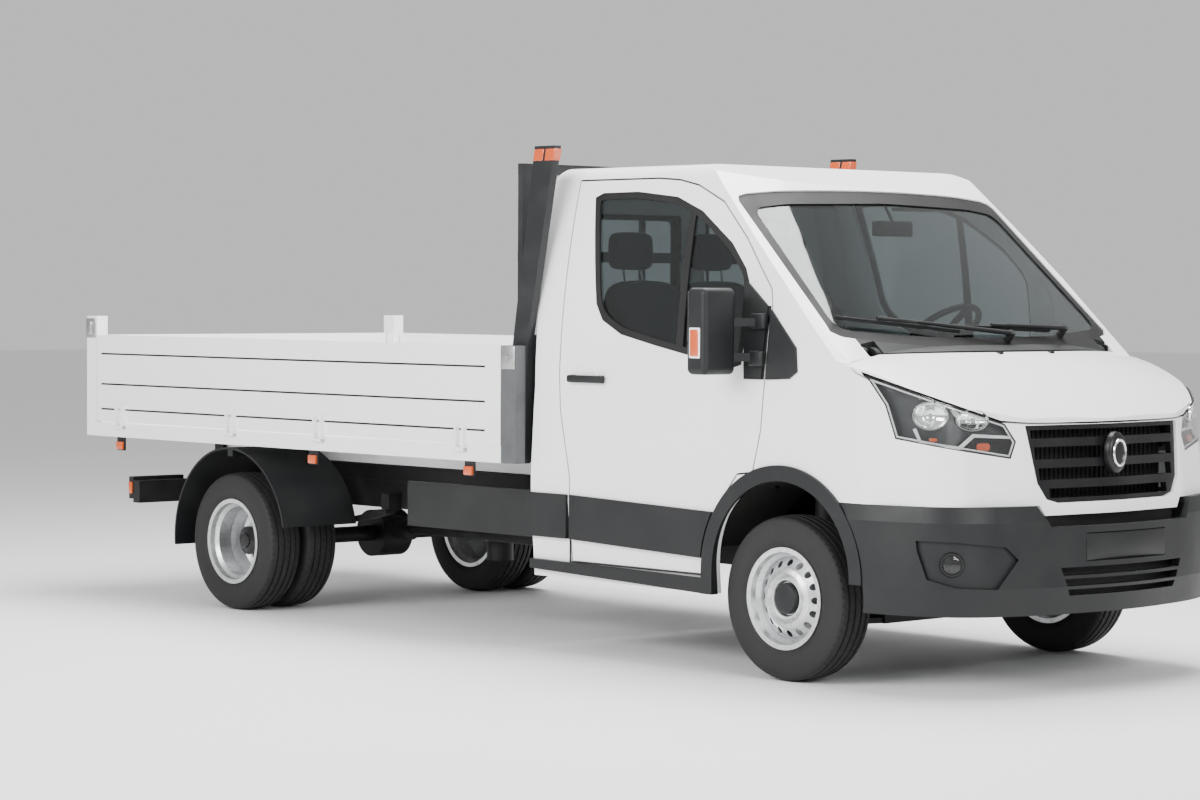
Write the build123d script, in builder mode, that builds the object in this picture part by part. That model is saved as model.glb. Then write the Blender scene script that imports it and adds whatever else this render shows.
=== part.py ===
from build123d import *
import os
from math import cos, radians, sin, sqrt

os.makedirs("parts", exist_ok=True)

# A light drop-side tipper truck: single cab in front, three-way board body behind.
# Millimetres, X forward, Y to the left, Z up, ground at Z 0, origin under the middle of its length.

# Driving sizes
overall_length = 6350
front_overhang = 1100
wheelbase = 3954
front_axle_x = overall_length / 2 - front_overhang
rear_axle_x = front_axle_x - wheelbase
tail_x = -overall_length / 2

tyre_radius = 356
tyre_width = 200
rim_radius = 220
front_wheel_y = 868
twin_pitch = 232
rear_wheel_y = 798

cab_half_width = 985
cab_wall = 42
nose_wall = 24
shut_gap = 8
pane_inset = 12
pane_thickness = 6
cab_rear_x = front_axle_x - 1617
cab_top_z = 2248
cab_floor_z = 600
floor_thickness = 30

bed_half_width = 1065
bed_front_x = front_axle_x - 1740
bed_floor_z = 935
bed_frame_z = 862
board_thickness = 28
board_gap = 8

rail_half_pitch = 425
rail_width = 60
rail_bottom_z = 540
rail_top_z = 680
subframe_top_z = 760

seat_gap = 0.3

# Joint places
kingpin_y = 695
tip_hinge_x = front_axle_x - 4800
tip_hinge_z = 800
ram_eye_x = tip_hinge_x + 1620
ram_eye_z = 775
ram_trunnion_z = 495
board_hinge_z = 915
board_hinge_y = bed_half_width + 12
door_hinge_x = front_axle_x - 215
door_hinge_y = 972
door_hinge_low_z = 700
door_hinge_lean = 0.034
bonnet_hinge_x = front_axle_x + 295
bonnet_hinge_z = 1365

LEFT_RIGHT = (("left", 1), ("right", -1))


def from_axle(points):
    """Points of a side outline, given from the front axle, as places on the truck."""
    return [(front_axle_x + x, z) for x, z in points]


def prism_y(outline, y_low, y_high):
    """A side outline of X, Z points carried across from y_low to y_high."""
    with BuildPart() as solid:
        with BuildSketch(Plane.XZ.offset(-y_high)):
            with BuildLine():
                Polyline(*outline, close=True)
            make_face()
        extrude(amount=y_high - y_low)
    return solid.part


def prism_x(outline, x_low, x_high):
    """A cross outline of Y, Z points carried along from x_low to x_high."""
    with BuildPart() as solid:
        with BuildSketch(Plane.YZ.offset(x_low)):
            with BuildLine():
                Polyline(*outline, close=True)
            make_face()
        extrude(amount=x_high - x_low)
    return solid.part


def prism_z(outline, z_low, z_high):
    """A plan outline of X, Y points carried up from z_low to z_high."""
    with BuildPart() as solid:
        with BuildSketch(Plane.XY.offset(z_low)):
            with BuildLine():
                Polyline(*outline, close=True)
            make_face()
        extrude(amount=z_high - z_low)
    return solid.part


def block(x_low, x_high, y_low, y_high, z_low, z_high):
    """A plain box between six planes."""
    outline = [(x_low, y_low), (x_high, y_low), (x_high, y_high), (x_low, y_high)]
    return prism_z(outline, z_low, z_high)


def rod_y(x, z, radius, y_low, y_high):
    """A round bar across the truck."""
    with BuildPart() as solid:
        with BuildSketch(Plane.XZ.offset(-y_high)):
            with Locations((x, z)):
                Circle(radius)
        extrude(amount=y_high - y_low)
    return solid.part


def rod_x(y, z, radius, x_low, x_high):
    """A round bar along the truck."""
    with BuildPart() as solid:
        with BuildSketch(Plane.YZ.offset(x_low)):
            with Locations((y, z)):
                Circle(radius)
        extrude(amount=x_high - x_low)
    return solid.part


def rod_z(x, y, radius, z_low, z_high):
    """A round bar standing up."""
    with BuildPart() as solid:
        with BuildSketch(Plane.XY.offset(z_low)):
            with Locations((x, y)):
                Circle(radius)
        extrude(amount=z_high - z_low)
    return solid.part


def save(part, node):
    """Name a finished piece and write it out."""
    part.label = node
    export_step(part, f"parts/{node}.step")


def sided(side, y_near, y_far):
    """Low and high Y of a band that lies on the left (+1) or right (-1)."""
    return (y_near, y_far) if side > 0 else (-y_far, -y_near)


hinge_heights = (985, 1200)


def door_hinge_axis_y(z):
    """How far out the leaning door hinge line is at height z."""
    return door_hinge_y - door_hinge_lean * (z - door_hinge_low_z)


def hinge_rod(side, radius, z_low, z_high):
    """A round bar on the leaning door hinge line."""
    start = (door_hinge_x, side * door_hinge_axis_y(z_low), z_low)
    with BuildPart() as solid:
        with BuildSketch(Plane(origin=start, z_dir=(0, -side * door_hinge_lean, 1))):
            Circle(radius)
        extrude(amount=z_high - z_low)
    return solid.part


# Cab body, outer form and its inner offset
section_belt_z = 1100
section_sill_half = 955
section_roof_half = 838
section_roof_z = 2228
roof_corner_radius = 70
windscreen_top = (front_axle_x - 395, 2140)
windscreen_base = (front_axle_x + 430, 1403)
windscreen_sagitta = 110
windscreen_half = 940
bonnet_axis = (front_axle_x + 38, 43)
bonnet_radius = 1449
nose_lean = 0.14
nose_plan_z = 750


def cab_section(inset):
    """Cross section of the passenger cell, straight below the belt and drawn in above it."""
    half = cab_half_width - inset
    sill = section_sill_half - inset
    roof_half = section_roof_half - 0.81 * inset
    roof_z = section_roof_z - 0.9 * inset
    with BuildPart() as cell:
        with BuildSketch(Plane.YZ.offset(cab_rear_x - 50)):
            with BuildLine():
                Line((-sill, 300 + inset), (sill, 300 + inset))
                Line((sill, 300 + inset), (half, 700))
                Line((half, 700), (half, section_belt_z))
                TangentArc((half, section_belt_z), (roof_half, roof_z), tangent=(0, 1))
                ThreePointArc((roof_half, roof_z), (0, cab_top_z - inset), (-roof_half, roof_z))
                TangentArc((-half, section_belt_z), (-roof_half, roof_z), tangent=(0, 1))
                Line((-half, section_belt_z), (-half, 700))
                Line((-half, 700), (-sill, 300 + inset))
            cell_face = make_face()
            corners = [v for v in cell_face.vertices() if abs(v.Y - roof_z) < 1]
            fillet(corners, radius=roof_corner_radius - inset)
        extrude(amount=overall_length / 2 - cab_rear_x + 300)
    return cell.part


def cab_profile(inset):
    """Side profile of the passenger cell: rear wall, roof and the slope of the windscreen."""
    with BuildPart() as profile:
        with BuildSketch(Plane.XZ.offset(-1100)):
            with BuildLine():
                Polyline(
                    (cab_rear_x, 250),
                    (cab_rear_x, 830),
                    (cab_rear_x + 25, 1215),
                    (cab_rear_x + 7, 2180),
                    (cab_rear_x + 80, cab_top_z + 6),
                    (front_axle_x - 690, cab_top_z + 6),
                    windscreen_top,
                    (front_axle_x + 430, windscreen_base[1]),
                    (front_axle_x + 430, 250),
                    close=True,
                )
            make_face()
            if inset != 0:
                offset(amount=-inset, kind=Kind.INTERSECTION, mode=Mode.REPLACE)
        extrude(amount=2200)
    return profile.part


def windscreen_side(inset):
    """Everything behind the windscreen, whose plan is one flat arc swept up its slope."""
    run = windscreen_top[0] - windscreen_base[0]
    rise = windscreen_top[1] - windscreen_base[1]
    low_z = 900
    low_x = windscreen_base[0] + (low_z - windscreen_base[1]) * run / rise
    back = inset * sqrt(run * run + rise * rise) / rise
    rear_x = low_x + 2600 * run / rise * 2
    with BuildPart() as wedge:
        with BuildSketch(Plane.XY.offset(low_z)):
            with BuildLine():
                ThreePointArc(
                    (low_x - windscreen_sagitta - back, -windscreen_half),
                    (low_x - back, 0),
                    (low_x - windscreen_sagitta - back, windscreen_half),
                )
                Line((low_x - windscreen_sagitta - back, windscreen_half), (low_x - 400, 1300))
                Line((low_x - 400, 1300), (rear_x, 1300))
                Line((rear_x, 1300), (rear_x, -1300))
                Line((rear_x, -1300), (low_x - 400, -1300))
                Line((low_x - 400, -1300), (low_x - windscreen_sagitta - back, -windscreen_half))
            make_face()
        extrude(amount=2000, dir=(run, 0, rise))
        add(block(rear_x - 2600, low_x + 600, -1300, 1300, 200, low_z))
        add(block(rear_x - 2600, cab_rear_x + 400, -1300, 1300, low_z, 2600))
    return wedge.part


def nose_plan(inset):
    """Plan of the nose, leaning back a little as it rises."""
    with BuildPart() as plan:
        with BuildSketch(Plane.XY.offset(250)) as outline:
            with BuildLine():
                Polyline(*nose_outline(), close=True)
            make_face()
            soften_nose(outline)
            if inset != 0:
                offset(amount=-inset, mode=Mode.REPLACE)
        extrude(amount=1500, dir=(-nose_lean, 0, 1))
    return plan.part


def nose_outline():
    """Corners of the nose in plan at its lower edge."""
    forward = front_axle_x + (nose_plan_z - 250) * nose_lean
    half = [(450, cab_half_width + 10), (860, 872), (1000, 500), (1045, 0)]
    left = [(forward + x, y) for x, y in half]
    right = [(x, -y) for x, y in reversed(left[:-1])]
    rear_x = front_axle_x - 300
    return [(rear_x, cab_half_width + 55)] + left + right + [(rear_x, -cab_half_width - 55)]


def soften_nose(outline):
    """Round the nose corners of a sketch by where they lie in plan."""
    table = ((cab_half_width + 10, 420), (872, 230), (500, 260), (0, 1500))
    for half, radius in table:
        corners = [
            v for v in outline.vertices()
            if abs(abs(v.Y) - half) < 1 and v.X > front_axle_x
        ]
        fillet(corners, radius=radius)


def bonnet_sweep(inset):
    """The bonnet's crown: a cross section turned about a line far below, so it falls forward."""
    axis_x, axis_z = bonnet_axis
    top = bonnet_radius - inset
    side = cab_half_width + 60 - inset
    with BuildPart() as crown:
        with BuildSketch(Plane.YZ.offset(axis_x)):
            with BuildLine():
                ThreePointArc((side, axis_z + top - 95), (0, axis_z + top), (-side, axis_z + top - 95))
                Line((-side, axis_z + top - 95), (-side, axis_z + 20))
                Line((-side, axis_z + 20), (side, axis_z + 20))
                Line((side, axis_z + 20), (side, axis_z + top - 95))
            make_face()
        revolve(axis=Axis((axis_x, 0, axis_z), (0, 1, 0)), revolution_arc=360)
    return crown.part


def cab_volume(inset):
    """The closed outer form of the cab, moved in by inset."""
    section = cab_section(inset)
    profile = cab_profile(inset)
    wedge = windscreen_side(inset)
    plan = nose_plan(inset)
    crown = bonnet_sweep(inset)
    with BuildPart() as cell:
        add(profile)
        add(wedge, mode=Mode.INTERSECT)
    with BuildPart() as nose:
        add(plan)
        add(crown, mode=Mode.INTERSECT)
    with BuildPart() as whole:
        add(cell.part)
        add(nose.part)
        add(section, mode=Mode.INTERSECT)
    return whole.part



outer_form = cab_volume(0)
pane_outer = cab_volume(pane_inset)
pane_inner = cab_volume(pane_inset + pane_thickness)
nose_inner = cab_volume(nose_wall)
inner_form = cab_volume(cab_wall)

with BuildPart() as cab_shell:
    add(outer_form)
    add(inner_form, mode=Mode.SUBTRACT)

with BuildPart() as nose_shell:
    add(outer_form)
    add(nose_inner, mode=Mode.SUBTRACT)

with BuildPart() as glass_shell:
    add(pane_outer)
    add(pane_inner, mode=Mode.SUBTRACT)

# Panel joints of the cab, as side outlines from the front axle
sill_low_z = 430
arch_centre = (10, 450)
arch_opening_radius = 410
arch_trim_radius = 478
door_arch_radius = arch_trim_radius + 8
wing_rear_x = -200


def arch_point(radius, degrees):
    """A point round the front wheel arch, counted from the front, upward."""
    turn = radians(degrees)
    return (arch_centre[0] + radius * cos(turn), arch_centre[1] + radius * sin(turn))


door_outline = [
    (-1422, 2168), (-1422, 1293), (-1408, 1109), (-1345, 818), (-1345, sill_low_z),
    (-door_arch_radius + arch_centre[0], sill_low_z),
    arch_point(door_arch_radius, 165), arch_point(door_arch_radius, 150), arch_point(door_arch_radius, 135),
    (-262, 882), (-170, 892), (-122, 1074), (-104, 1284), (-84, 1610), (-97, 1676), (-278, 1892),
    (-457, 2055), (-636, 2132), (-760, 2158), (-900, 2168),
]
window_outline = [
    (-1306, 2092), (-1256, 2112), (-1022, 2114), (-757, 2086), (-583, 2021), (-366, 1878), (-262, 1768),
    (-235, 1712), (-230, 1500), (-246, 1350), (-330, 1328), (-567, 1383), (-794, 1424), (-1024, 1470),
    (-1155, 1533), (-1205, 1606),
]
bonnet_line = [
    (200, 1640), (268, 1510), (335, 1408), (438, 1330), (905, 1140), (960, 1128), (1250, 1128), (1250, 1640),
]
bumper_top_z = 788
front_panel_low_z = bumper_top_z + seat_gap
front_panel_outline = [
    (684, front_panel_low_z), (628, 1052), (905, 1131), (960, 1120), (1250, 1120), (1250, front_panel_low_z),
]
grille_outline = [(-505, 1118), (505, 1118), (470, 880), (425, 812), (360, 795), (-360, 795), (-425, 812), (-470, 880)]


def grown(points, amount, y_low, y_high):
    """A side outline carried across, grown or shrunk all round by amount."""
    with BuildPart() as solid:
        with BuildSketch(Plane.XZ.offset(-y_high)):
            with BuildLine():
                Polyline(*from_axle(points), close=True)
            make_face()
            offset(amount=amount, kind=Kind.INTERSECTION, mode=Mode.REPLACE)
        extrude(amount=y_high - y_low)
    return solid.part


def corner_prism(outline, side, amount, depth_low, depth_high):
    """An outline on an upright plane square to the nose corner, made solid."""
    normal = Vector(1, side, 0).normalized()
    along = Vector(1, -side, 0).normalized()
    corner = Plane(origin=Vector(front_axle_x, 0, 0) + normal * depth_low, x_dir=along, z_dir=normal)
    flip = 1 if corner.y_dir.Z > 0 else -1
    with BuildPart() as solid:
        with BuildSketch(corner):
            with BuildLine():
                Polyline(*[(s, z * flip) for s, z in outline], close=True)
            make_face()
            if amount != 0:
                offset(amount=amount, kind=Kind.INTERSECTION, mode=Mode.REPLACE)
        extrude(amount=depth_high - depth_low)
    return solid.part


def headlamp_cut(side, amount, depth_low, depth_high):
    """The headlamp's outline, made solid."""
    outline = [(-348, 1322), (226, 1126), (273, 1052), (250, 982), (-226, 1062), (-268, 1200)]
    return corner_prism(outline, side, amount, depth_low, depth_high)


windscreen_edge = [
    (0, 2125), (300, 2122), (600, 2113), (780, 2098), (832, 2085), (850, 2060), (905, 1530), (912, 1500),
    (880, 1480), (700, 1455), (400, 1432), (0, 1422),
]


def windscreen_cut(amount):
    """The windscreen's outline on its own slope, carried through the cab skin."""
    run = windscreen_top[0] - windscreen_base[0]
    rise = windscreen_top[1] - windscreen_base[1]
    slope = Vector(run, 0, rise)
    top = Vector(windscreen_top[0], 0, windscreen_top[1])
    up = slope.normalized()
    normal = Vector(rise, 0, -run).normalized()
    glass_plane = Plane(origin=top - normal * 400, x_dir=(0, 1, 0), z_dir=normal)
    flip = 1 if glass_plane.y_dir.dot(up) > 0 else -1
    bow = windscreen_sagitta * -up.X / windscreen_half ** 2
    fall = slope.length / rise
    half = [(y, (z - windscreen_top[1]) * fall + bow * y * y) for y, z in windscreen_edge]
    outline = half + [(-y, v) for y, v in reversed(half) if y > 0]
    with BuildPart() as solid:
        with BuildSketch(glass_plane):
            with BuildLine():
                Polyline(*[(y, v * flip) for y, v in outline], close=True)
            make_face()
            if amount != 0:
                offset(amount=amount, kind=Kind.INTERSECTION, mode=Mode.REPLACE)
        extrude(amount=600)
    return solid.part


def cowl_plan(margin):
    """Plan region behind the bonnet's curved rear edge."""
    with BuildPart() as solid:
        with BuildSketch(Plane.XY.offset(1000)):
            with BuildLine():
                ThreePointArc(
                    (front_axle_x + 300 - margin, -900),
                    (front_axle_x + 515 - margin, 0),
                    (front_axle_x + 300 - margin, 900),
                )
                Polyline(
                    (front_axle_x + 300 - margin, 900),
                    (front_axle_x - 600, 900),
                    (front_axle_x - 600, -900),
                    (front_axle_x + 300 - margin, -900),
                )
            make_face()
        extrude(amount=800)
    return solid.part


cowl_half_width = 815
cowl_swing_gap = 20
cowl_cut = block(front_axle_x + 100, front_axle_x + 700, -cowl_half_width - seat_gap, cowl_half_width + seat_gap, 1340, 1700)
grille_cut = prism_x(grille_outline, front_axle_x + 700, front_axle_x + 1300)
glass_opening = windscreen_cut(0)
roof_split_y = 760
rear_split_x = cab_rear_x + 62
wing_edge_x = front_axle_x + wing_rear_x
wheel_opening = rod_y(
    front_axle_x + arch_centre[0], arch_centre[1], arch_opening_radius + 24, -1300, 1300
)
wheel_way_x = front_axle_x + arch_centre[0] - arch_opening_radius - 24
wheel_way = block(wheel_way_x, front_axle_x + 1000, -1300, 1300, 0, arch_centre[1])
mirror_skin = cab_volume(-10)

# Bonnet, front panel, wings
bonnet_swing_radius = 78
bonnet_swing_gap = 6
bonnet_corner_y = 745


def swing_round(radius):
    """Both ends of the bonnet's hinge line, out to a radius about it."""
    with BuildPart() as solid:
        add(rod_y(bonnet_hinge_x, bonnet_hinge_z, radius, -1300, 1300))
        add(block(-4000, 4000, -bonnet_corner_y, bonnet_corner_y, 0, 3000), mode=Mode.SUBTRACT)
    return solid.part


bonnet_arm_y = 770
bonnet_arm = [(281, 1354), (309, 1354), (440, 1330), (440, 1368), (405, 1374), (365, 1370), (300, 1375), (281, 1374)]
bonnet_zone = grown(bonnet_line, 0, -1300, 1300)
behind_bonnet = cowl_plan(0)
with BuildPart() as bonnet:
    add(nose_shell.part)
    add(bonnet_zone, mode=Mode.INTERSECT)
    add(behind_bonnet, mode=Mode.SUBTRACT)
    add(windscreen_cut(20), mode=Mode.SUBTRACT)
    for side in (1, -1):
        add(headlamp_cut(side, shut_gap, 200, 1400), mode=Mode.SUBTRACT)
    add(block(-4000, front_axle_x + 290, -1300, 1300, 0, 2500), mode=Mode.SUBTRACT)
    add(swing_round(bonnet_swing_radius), mode=Mode.SUBTRACT)
    for side in (1, -1):
        low_y, high_y = sided(side, bonnet_arm_y, bonnet_arm_y + 20)
        add(prism_y(from_axle(bonnet_arm), low_y, high_y))
        add(rod_y(bonnet_hinge_x, bonnet_hinge_z, 5.4, low_y - 1, high_y + 1), mode=Mode.SUBTRACT)
save(bonnet.part, "bonnet")

with BuildPart() as bonnet_cut:
    add(grown(bonnet_line, shut_gap, -1300, 1300))
    add(swing_round(bonnet_swing_radius - bonnet_swing_gap), mode=Mode.SUBTRACT)
front_zone = grown(front_panel_outline, 0, -1300, 1300)
dip_low_z = 745
with BuildPart() as front_dip:
    add(nose_shell.part)
    add(prism_x([(-470, front_panel_low_z + 1), (-440, dip_low_z), (440, dip_low_z), (470, front_panel_low_z + 1)],
                front_axle_x + 800, front_axle_x + 1300), mode=Mode.INTERSECT)
with BuildPart() as front_panel:
    add(nose_shell.part)
    add(front_zone, mode=Mode.INTERSECT)
    add(grille_cut, mode=Mode.SUBTRACT)
    add(front_dip.part)
    for side in (1, -1):
        add(headlamp_cut(side, seat_gap, 200, 1400), mode=Mode.SUBTRACT)
save(front_panel.part, "front_panel")

front_zone_cut = grown(front_panel_outline, seat_gap, -1300, 1300)
for name, side in LEFT_RIGHT:
    low_y, high_y = sided(side, 500, 1300)
    wing_zone = block(wing_edge_x, front_axle_x + 1000, low_y, high_y, 560, 1478)
    door_gap = grown(door_outline, shut_gap, -1300, 1300)
    with BuildPart() as wing:
        add(nose_shell.part)
        add(wing_zone, mode=Mode.INTERSECT)
        add(bonnet_cut.part, mode=Mode.SUBTRACT)
        add(front_zone_cut, mode=Mode.SUBTRACT)
        add(headlamp_cut(side, seat_gap, 200, 1400), mode=Mode.SUBTRACT)
        add(wheel_opening, mode=Mode.SUBTRACT)
        add(door_gap, mode=Mode.SUBTRACT)
        add(windscreen_cut(3), mode=Mode.SUBTRACT)
        add(block(front_axle_x + 300, 4000, -1300, 1300, 0, front_panel_low_z), mode=Mode.SUBTRACT)
        add(cowl_cut, mode=Mode.SUBTRACT)
    with BuildPart() as whole_wing:
        add(wing.part.solids().sort_by(SortBy.VOLUME)[-1])
        low_y, high_y = sided(side, bonnet_arm_y + 30, cab_half_width - 20)
        add(block(bonnet_hinge_x - 14, bonnet_hinge_x + 14, low_y, high_y, bonnet_hinge_z - 13, bonnet_hinge_z + 13))
        low_y, high_y = sided(side, bonnet_arm_y - 6, bonnet_arm_y + 31)
        add(rod_y(bonnet_hinge_x, bonnet_hinge_z, 5, low_y, high_y))
    save(whole_wing.part, f"wing_{name}")


# Sides, doors and their glass
door_cut = grown(door_outline, shut_gap, -1300, 1300)
door_skin_depth = 20
door_skin_inner = cab_volume(door_skin_depth)
for name, side in LEFT_RIGHT:
    low_y, high_y = sided(side, roof_split_y, 1300)
    side_zone = block(-4000, front_axle_x + 460, low_y, high_y, 345, 2500)
    with BuildPart() as cab_side:
        add(cab_shell.part)
        add(side_zone, mode=Mode.INTERSECT)
        add(door_cut, mode=Mode.SUBTRACT)
        add(block(wing_edge_x - seat_gap, 4000, -1300, 1300, 0, 1478 + seat_gap), mode=Mode.SUBTRACT)
        add(glass_opening, mode=Mode.SUBTRACT)
        add(wheel_opening, mode=Mode.SUBTRACT)
        add(wheel_way, mode=Mode.SUBTRACT)
    save(cab_side.part, f"cab_side_{name}")

    door_zone = grown(door_outline, 0, low_y, high_y)
    inner_zone = grown(door_outline, -20, low_y, high_y)
    window_low, window_high = sided(side, 700, 1300)
    window_hole = grown(window_outline, 0, window_low, window_high)
    with BuildPart() as door:
        add(outer_form)
        add(door_skin_inner, mode=Mode.SUBTRACT)
        add(door_zone, mode=Mode.INTERSECT)
    with BuildPart() as door_lining:
        add(door_skin_inner)
        add(inner_form, mode=Mode.SUBTRACT)
        add(inner_zone, mode=Mode.INTERSECT)
    with BuildPart() as whole_door:
        add(door.part)
        add(door_lining.part)
        add(window_hole, mode=Mode.SUBTRACT)
        for height in hinge_heights:
            axis_y = door_hinge_axis_y(height)
            pocket_low, pocket_high = sided(side, 900, axis_y + 8.5)
            front_low, front_high = sided(side, 900, cab_half_width - door_skin_depth)
            pocket_z = (height - 26, height + 26)
            add(block(door_hinge_x - 26, door_hinge_x + 12, pocket_low, pocket_high, *pocket_z), mode=Mode.SUBTRACT)
            add(block(door_hinge_x, door_hinge_x + 200, front_low, front_high, *pocket_z), mode=Mode.SUBTRACT)
            add(hinge_rod(side, 4, height - 30, height + 30))
    save(whole_door.part, f"door_{name}")
    with BuildPart() as pane:
        add(glass_shell.part)
        add(grown(window_outline, -0.3, window_low, window_high), mode=Mode.INTERSECT)
    save(pane.part, f"door_glass_{name}")

# Roof, rear wall, windscreen
with BuildPart() as cab_roof:
    add(cab_shell.part)
    add(block(-4000, front_axle_x, -roof_split_y + seat_gap, roof_split_y - seat_gap, 1900, 2500), mode=Mode.INTERSECT)
    add(glass_opening, mode=Mode.SUBTRACT)
    add(block(-4000, rear_split_x, -1300, 1300, 0, 2148 + seat_gap), mode=Mode.SUBTRACT)
save(cab_roof.part, "cab_roof")

with BuildPart() as cab_rear:
    add(cab_shell.part)
    add(block(-4000, rear_split_x - seat_gap, -roof_split_y + seat_gap, roof_split_y - seat_gap, cab_floor_z, 2148), mode=Mode.INTERSECT)
    for side in (1, -1):
        low_y, high_y = sided(side, 90, 640)
        add(block(-4000, rear_split_x + 100, low_y, high_y, 1480, 2020), mode=Mode.SUBTRACT)
save(cab_rear.part, "cab_rear")

with BuildPart() as windscreen:
    add(glass_shell.part)
    add(windscreen_cut(-0.3), mode=Mode.INTERSECT)
save(windscreen.part, "windscreen")

# Cowl between bonnet and windscreen
with BuildPart() as cowl_ends:
    add(block(bonnet_hinge_x + 4, 4000, -cowl_half_width, cowl_half_width, 1300, 1700))
    add(block(-4000, 4000, -bonnet_corner_y + 15, bonnet_corner_y - 15, 0, 3000), mode=Mode.SUBTRACT)
    add(rod_y(bonnet_hinge_x, bonnet_hinge_z, bonnet_swing_radius - bonnet_swing_gap - 2, -1300, 1300), mode=Mode.SUBTRACT)
with BuildPart() as cowl:
    add(nose_shell.part)
    add(cowl_plan(cowl_swing_gap), mode=Mode.INTERSECT)
    add(block(front_axle_x + 150, front_axle_x + 700, -cowl_half_width, cowl_half_width, 1340, 1478), mode=Mode.INTERSECT)
    add(windscreen_cut(seat_gap), mode=Mode.SUBTRACT)
    add(cowl_ends.part, mode=Mode.SUBTRACT)
    for side in (1, -1):
        low_y, high_y = sided(side, bonnet_arm_y - 8, bonnet_arm_y + 28)
        add(block(bonnet_hinge_x + 10, 4000, low_y, high_y, 1300, 1700), mode=Mode.SUBTRACT)
save(cowl.part, "cowl")

# Floor, bulkhead and wheel housings of the cab
floor_half = 928
rocker_half = 912
firewall_x = front_axle_x + 60
firewall_thickness = 25
firewall_top_z = 1315
housing_radius = 515
housing_wall = 12
housing_inner_y = 545
front_rail_top_z = 570
cab_post_y = 800


with BuildPart() as cab_floor:
    add(block(cab_rear_x + cab_wall + seat_gap, firewall_x, -floor_half, floor_half, cab_floor_z, cab_floor_z + floor_thickness))
    add(block(firewall_x - firewall_thickness, firewall_x, -floor_half, floor_half, cab_floor_z, firewall_top_z))
    for side in (1, -1):
        low_y, high_y = sided(side, housing_inner_y, floor_half + 60)
        add(rod_y(front_axle_x, tyre_radius, housing_radius, low_y, high_y), mode=Mode.SUBTRACT)
    for side in (1, -1):
        low_y, high_y = sided(side, housing_inner_y, floor_half)
        with BuildSketch(Plane.XZ.offset(-high_y)):
            with Locations((front_axle_x, tyre_radius)):
                Circle(housing_radius)
                Circle(housing_radius - housing_wall, mode=Mode.SUBTRACT)
            with Locations((front_axle_x, tyre_radius - housing_radius + 190)):
                Rectangle(3 * housing_radius, 2 * housing_radius, mode=Mode.SUBTRACT)
        extrude(amount=high_y - low_y)
    for side in (1, -1):
        low_y, high_y = sided(side, rail_half_pitch - 28, rail_half_pitch + 28)
        for mount_x in (cab_rear_x + 180, front_axle_x - 620):
            add(block(mount_x - 40, mount_x + 40, low_y, high_y, front_rail_top_z + seat_gap, cab_floor_z + 1))
    for side in (1, -1):
        low_y, high_y = sided(side, rocker_half - 60, rocker_half)
        add(block(cab_rear_x + cab_wall + 1, front_axle_x - 540, low_y, high_y, 345, cab_floor_z + 1))
    for side in (1, -1):
        low_y, high_y = sided(side, cab_post_y, cab_post_y + 28)
        add(block(door_hinge_x - 30, door_hinge_x + 30, low_y, high_y, 812, 1268))
        for height in hinge_heights:
            axis_y = door_hinge_axis_y(height)
            strap_low, strap_high = sided(side, cab_post_y + 20, axis_y)
            add(block(door_hinge_x - 5.5, door_hinge_x + 5.5, strap_low, strap_high, height - 14, height + 14))
            add(hinge_rod(side, 7, height - 18, height + 18))
            add(hinge_rod(side, 4.3, height - 19, height + 19), mode=Mode.SUBTRACT)
    for side in (1, -1):
        add(rod_z(front_axle_x, side * kingpin_y, 55, 823, 862))
save(cab_floor.part, "cab_floor")

# Front bumper, grille, lamps
bumper_low_z = 335
bumper_bend_z = 450
bumper_band_z = 722
bumper_skin = 34
bumper_flange = 28
fog_recess_depth = 18
bumper_tuck = 20
bumper_lean = 14


def bumper_plan(inset, z):
    """Plan of the bumper at a height, a little fuller than the nose."""
    half = [(330, 1000), (560, 998), (905, 862), (1040, 520), (1119, 0)]
    left = [(front_axle_x + x, y) for x, y in half]
    right = [(x, -y) for x, y in reversed(left[:-1])]
    with BuildSketch(Plane.XY.offset(z)) as plan:
        with BuildLine():
            Polyline(*(left + right), close=True)
        make_face()
        for half_y, radius in ((998, 900), (862, 380), (520, 1200), (0, 1700)):
            corners = [v for v in plan.vertices() if abs(abs(v.Y) - half_y) < 1 and v.X > front_axle_x + 400]
            fillet(corners, radius=radius)
        if inset > 0:
            offset(amount=-inset, kind=Kind.INTERSECTION, mode=Mode.REPLACE)
    return plan.sketch.face()


def bumper_form(z_low, z_high, inset):
    """The bumper's plan carried straight up."""
    with BuildPart() as form:
        extrude(bumper_plan(inset, z_low), amount=z_high - z_low)
    return form.part


def bumper_band(z_low, inset_low, z_high, inset_high):
    """A leaning band of the bumper between two plans."""
    with BuildPart() as form:
        loft(sections=[bumper_plan(inset_low, z_low), bumper_plan(inset_high, z_high)], ruled=True)
    return form.part


def fog_cut(side):
    """The fog lamp recess on the bumper corner, square to the corner."""
    outline = [(-143, 648), (20, 646), (228, 624), (282, 570), (195, 450), (20, 458), (-98, 490), (-138, 606)]
    return corner_prism(outline, side, 0, 800, 1400)


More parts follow.
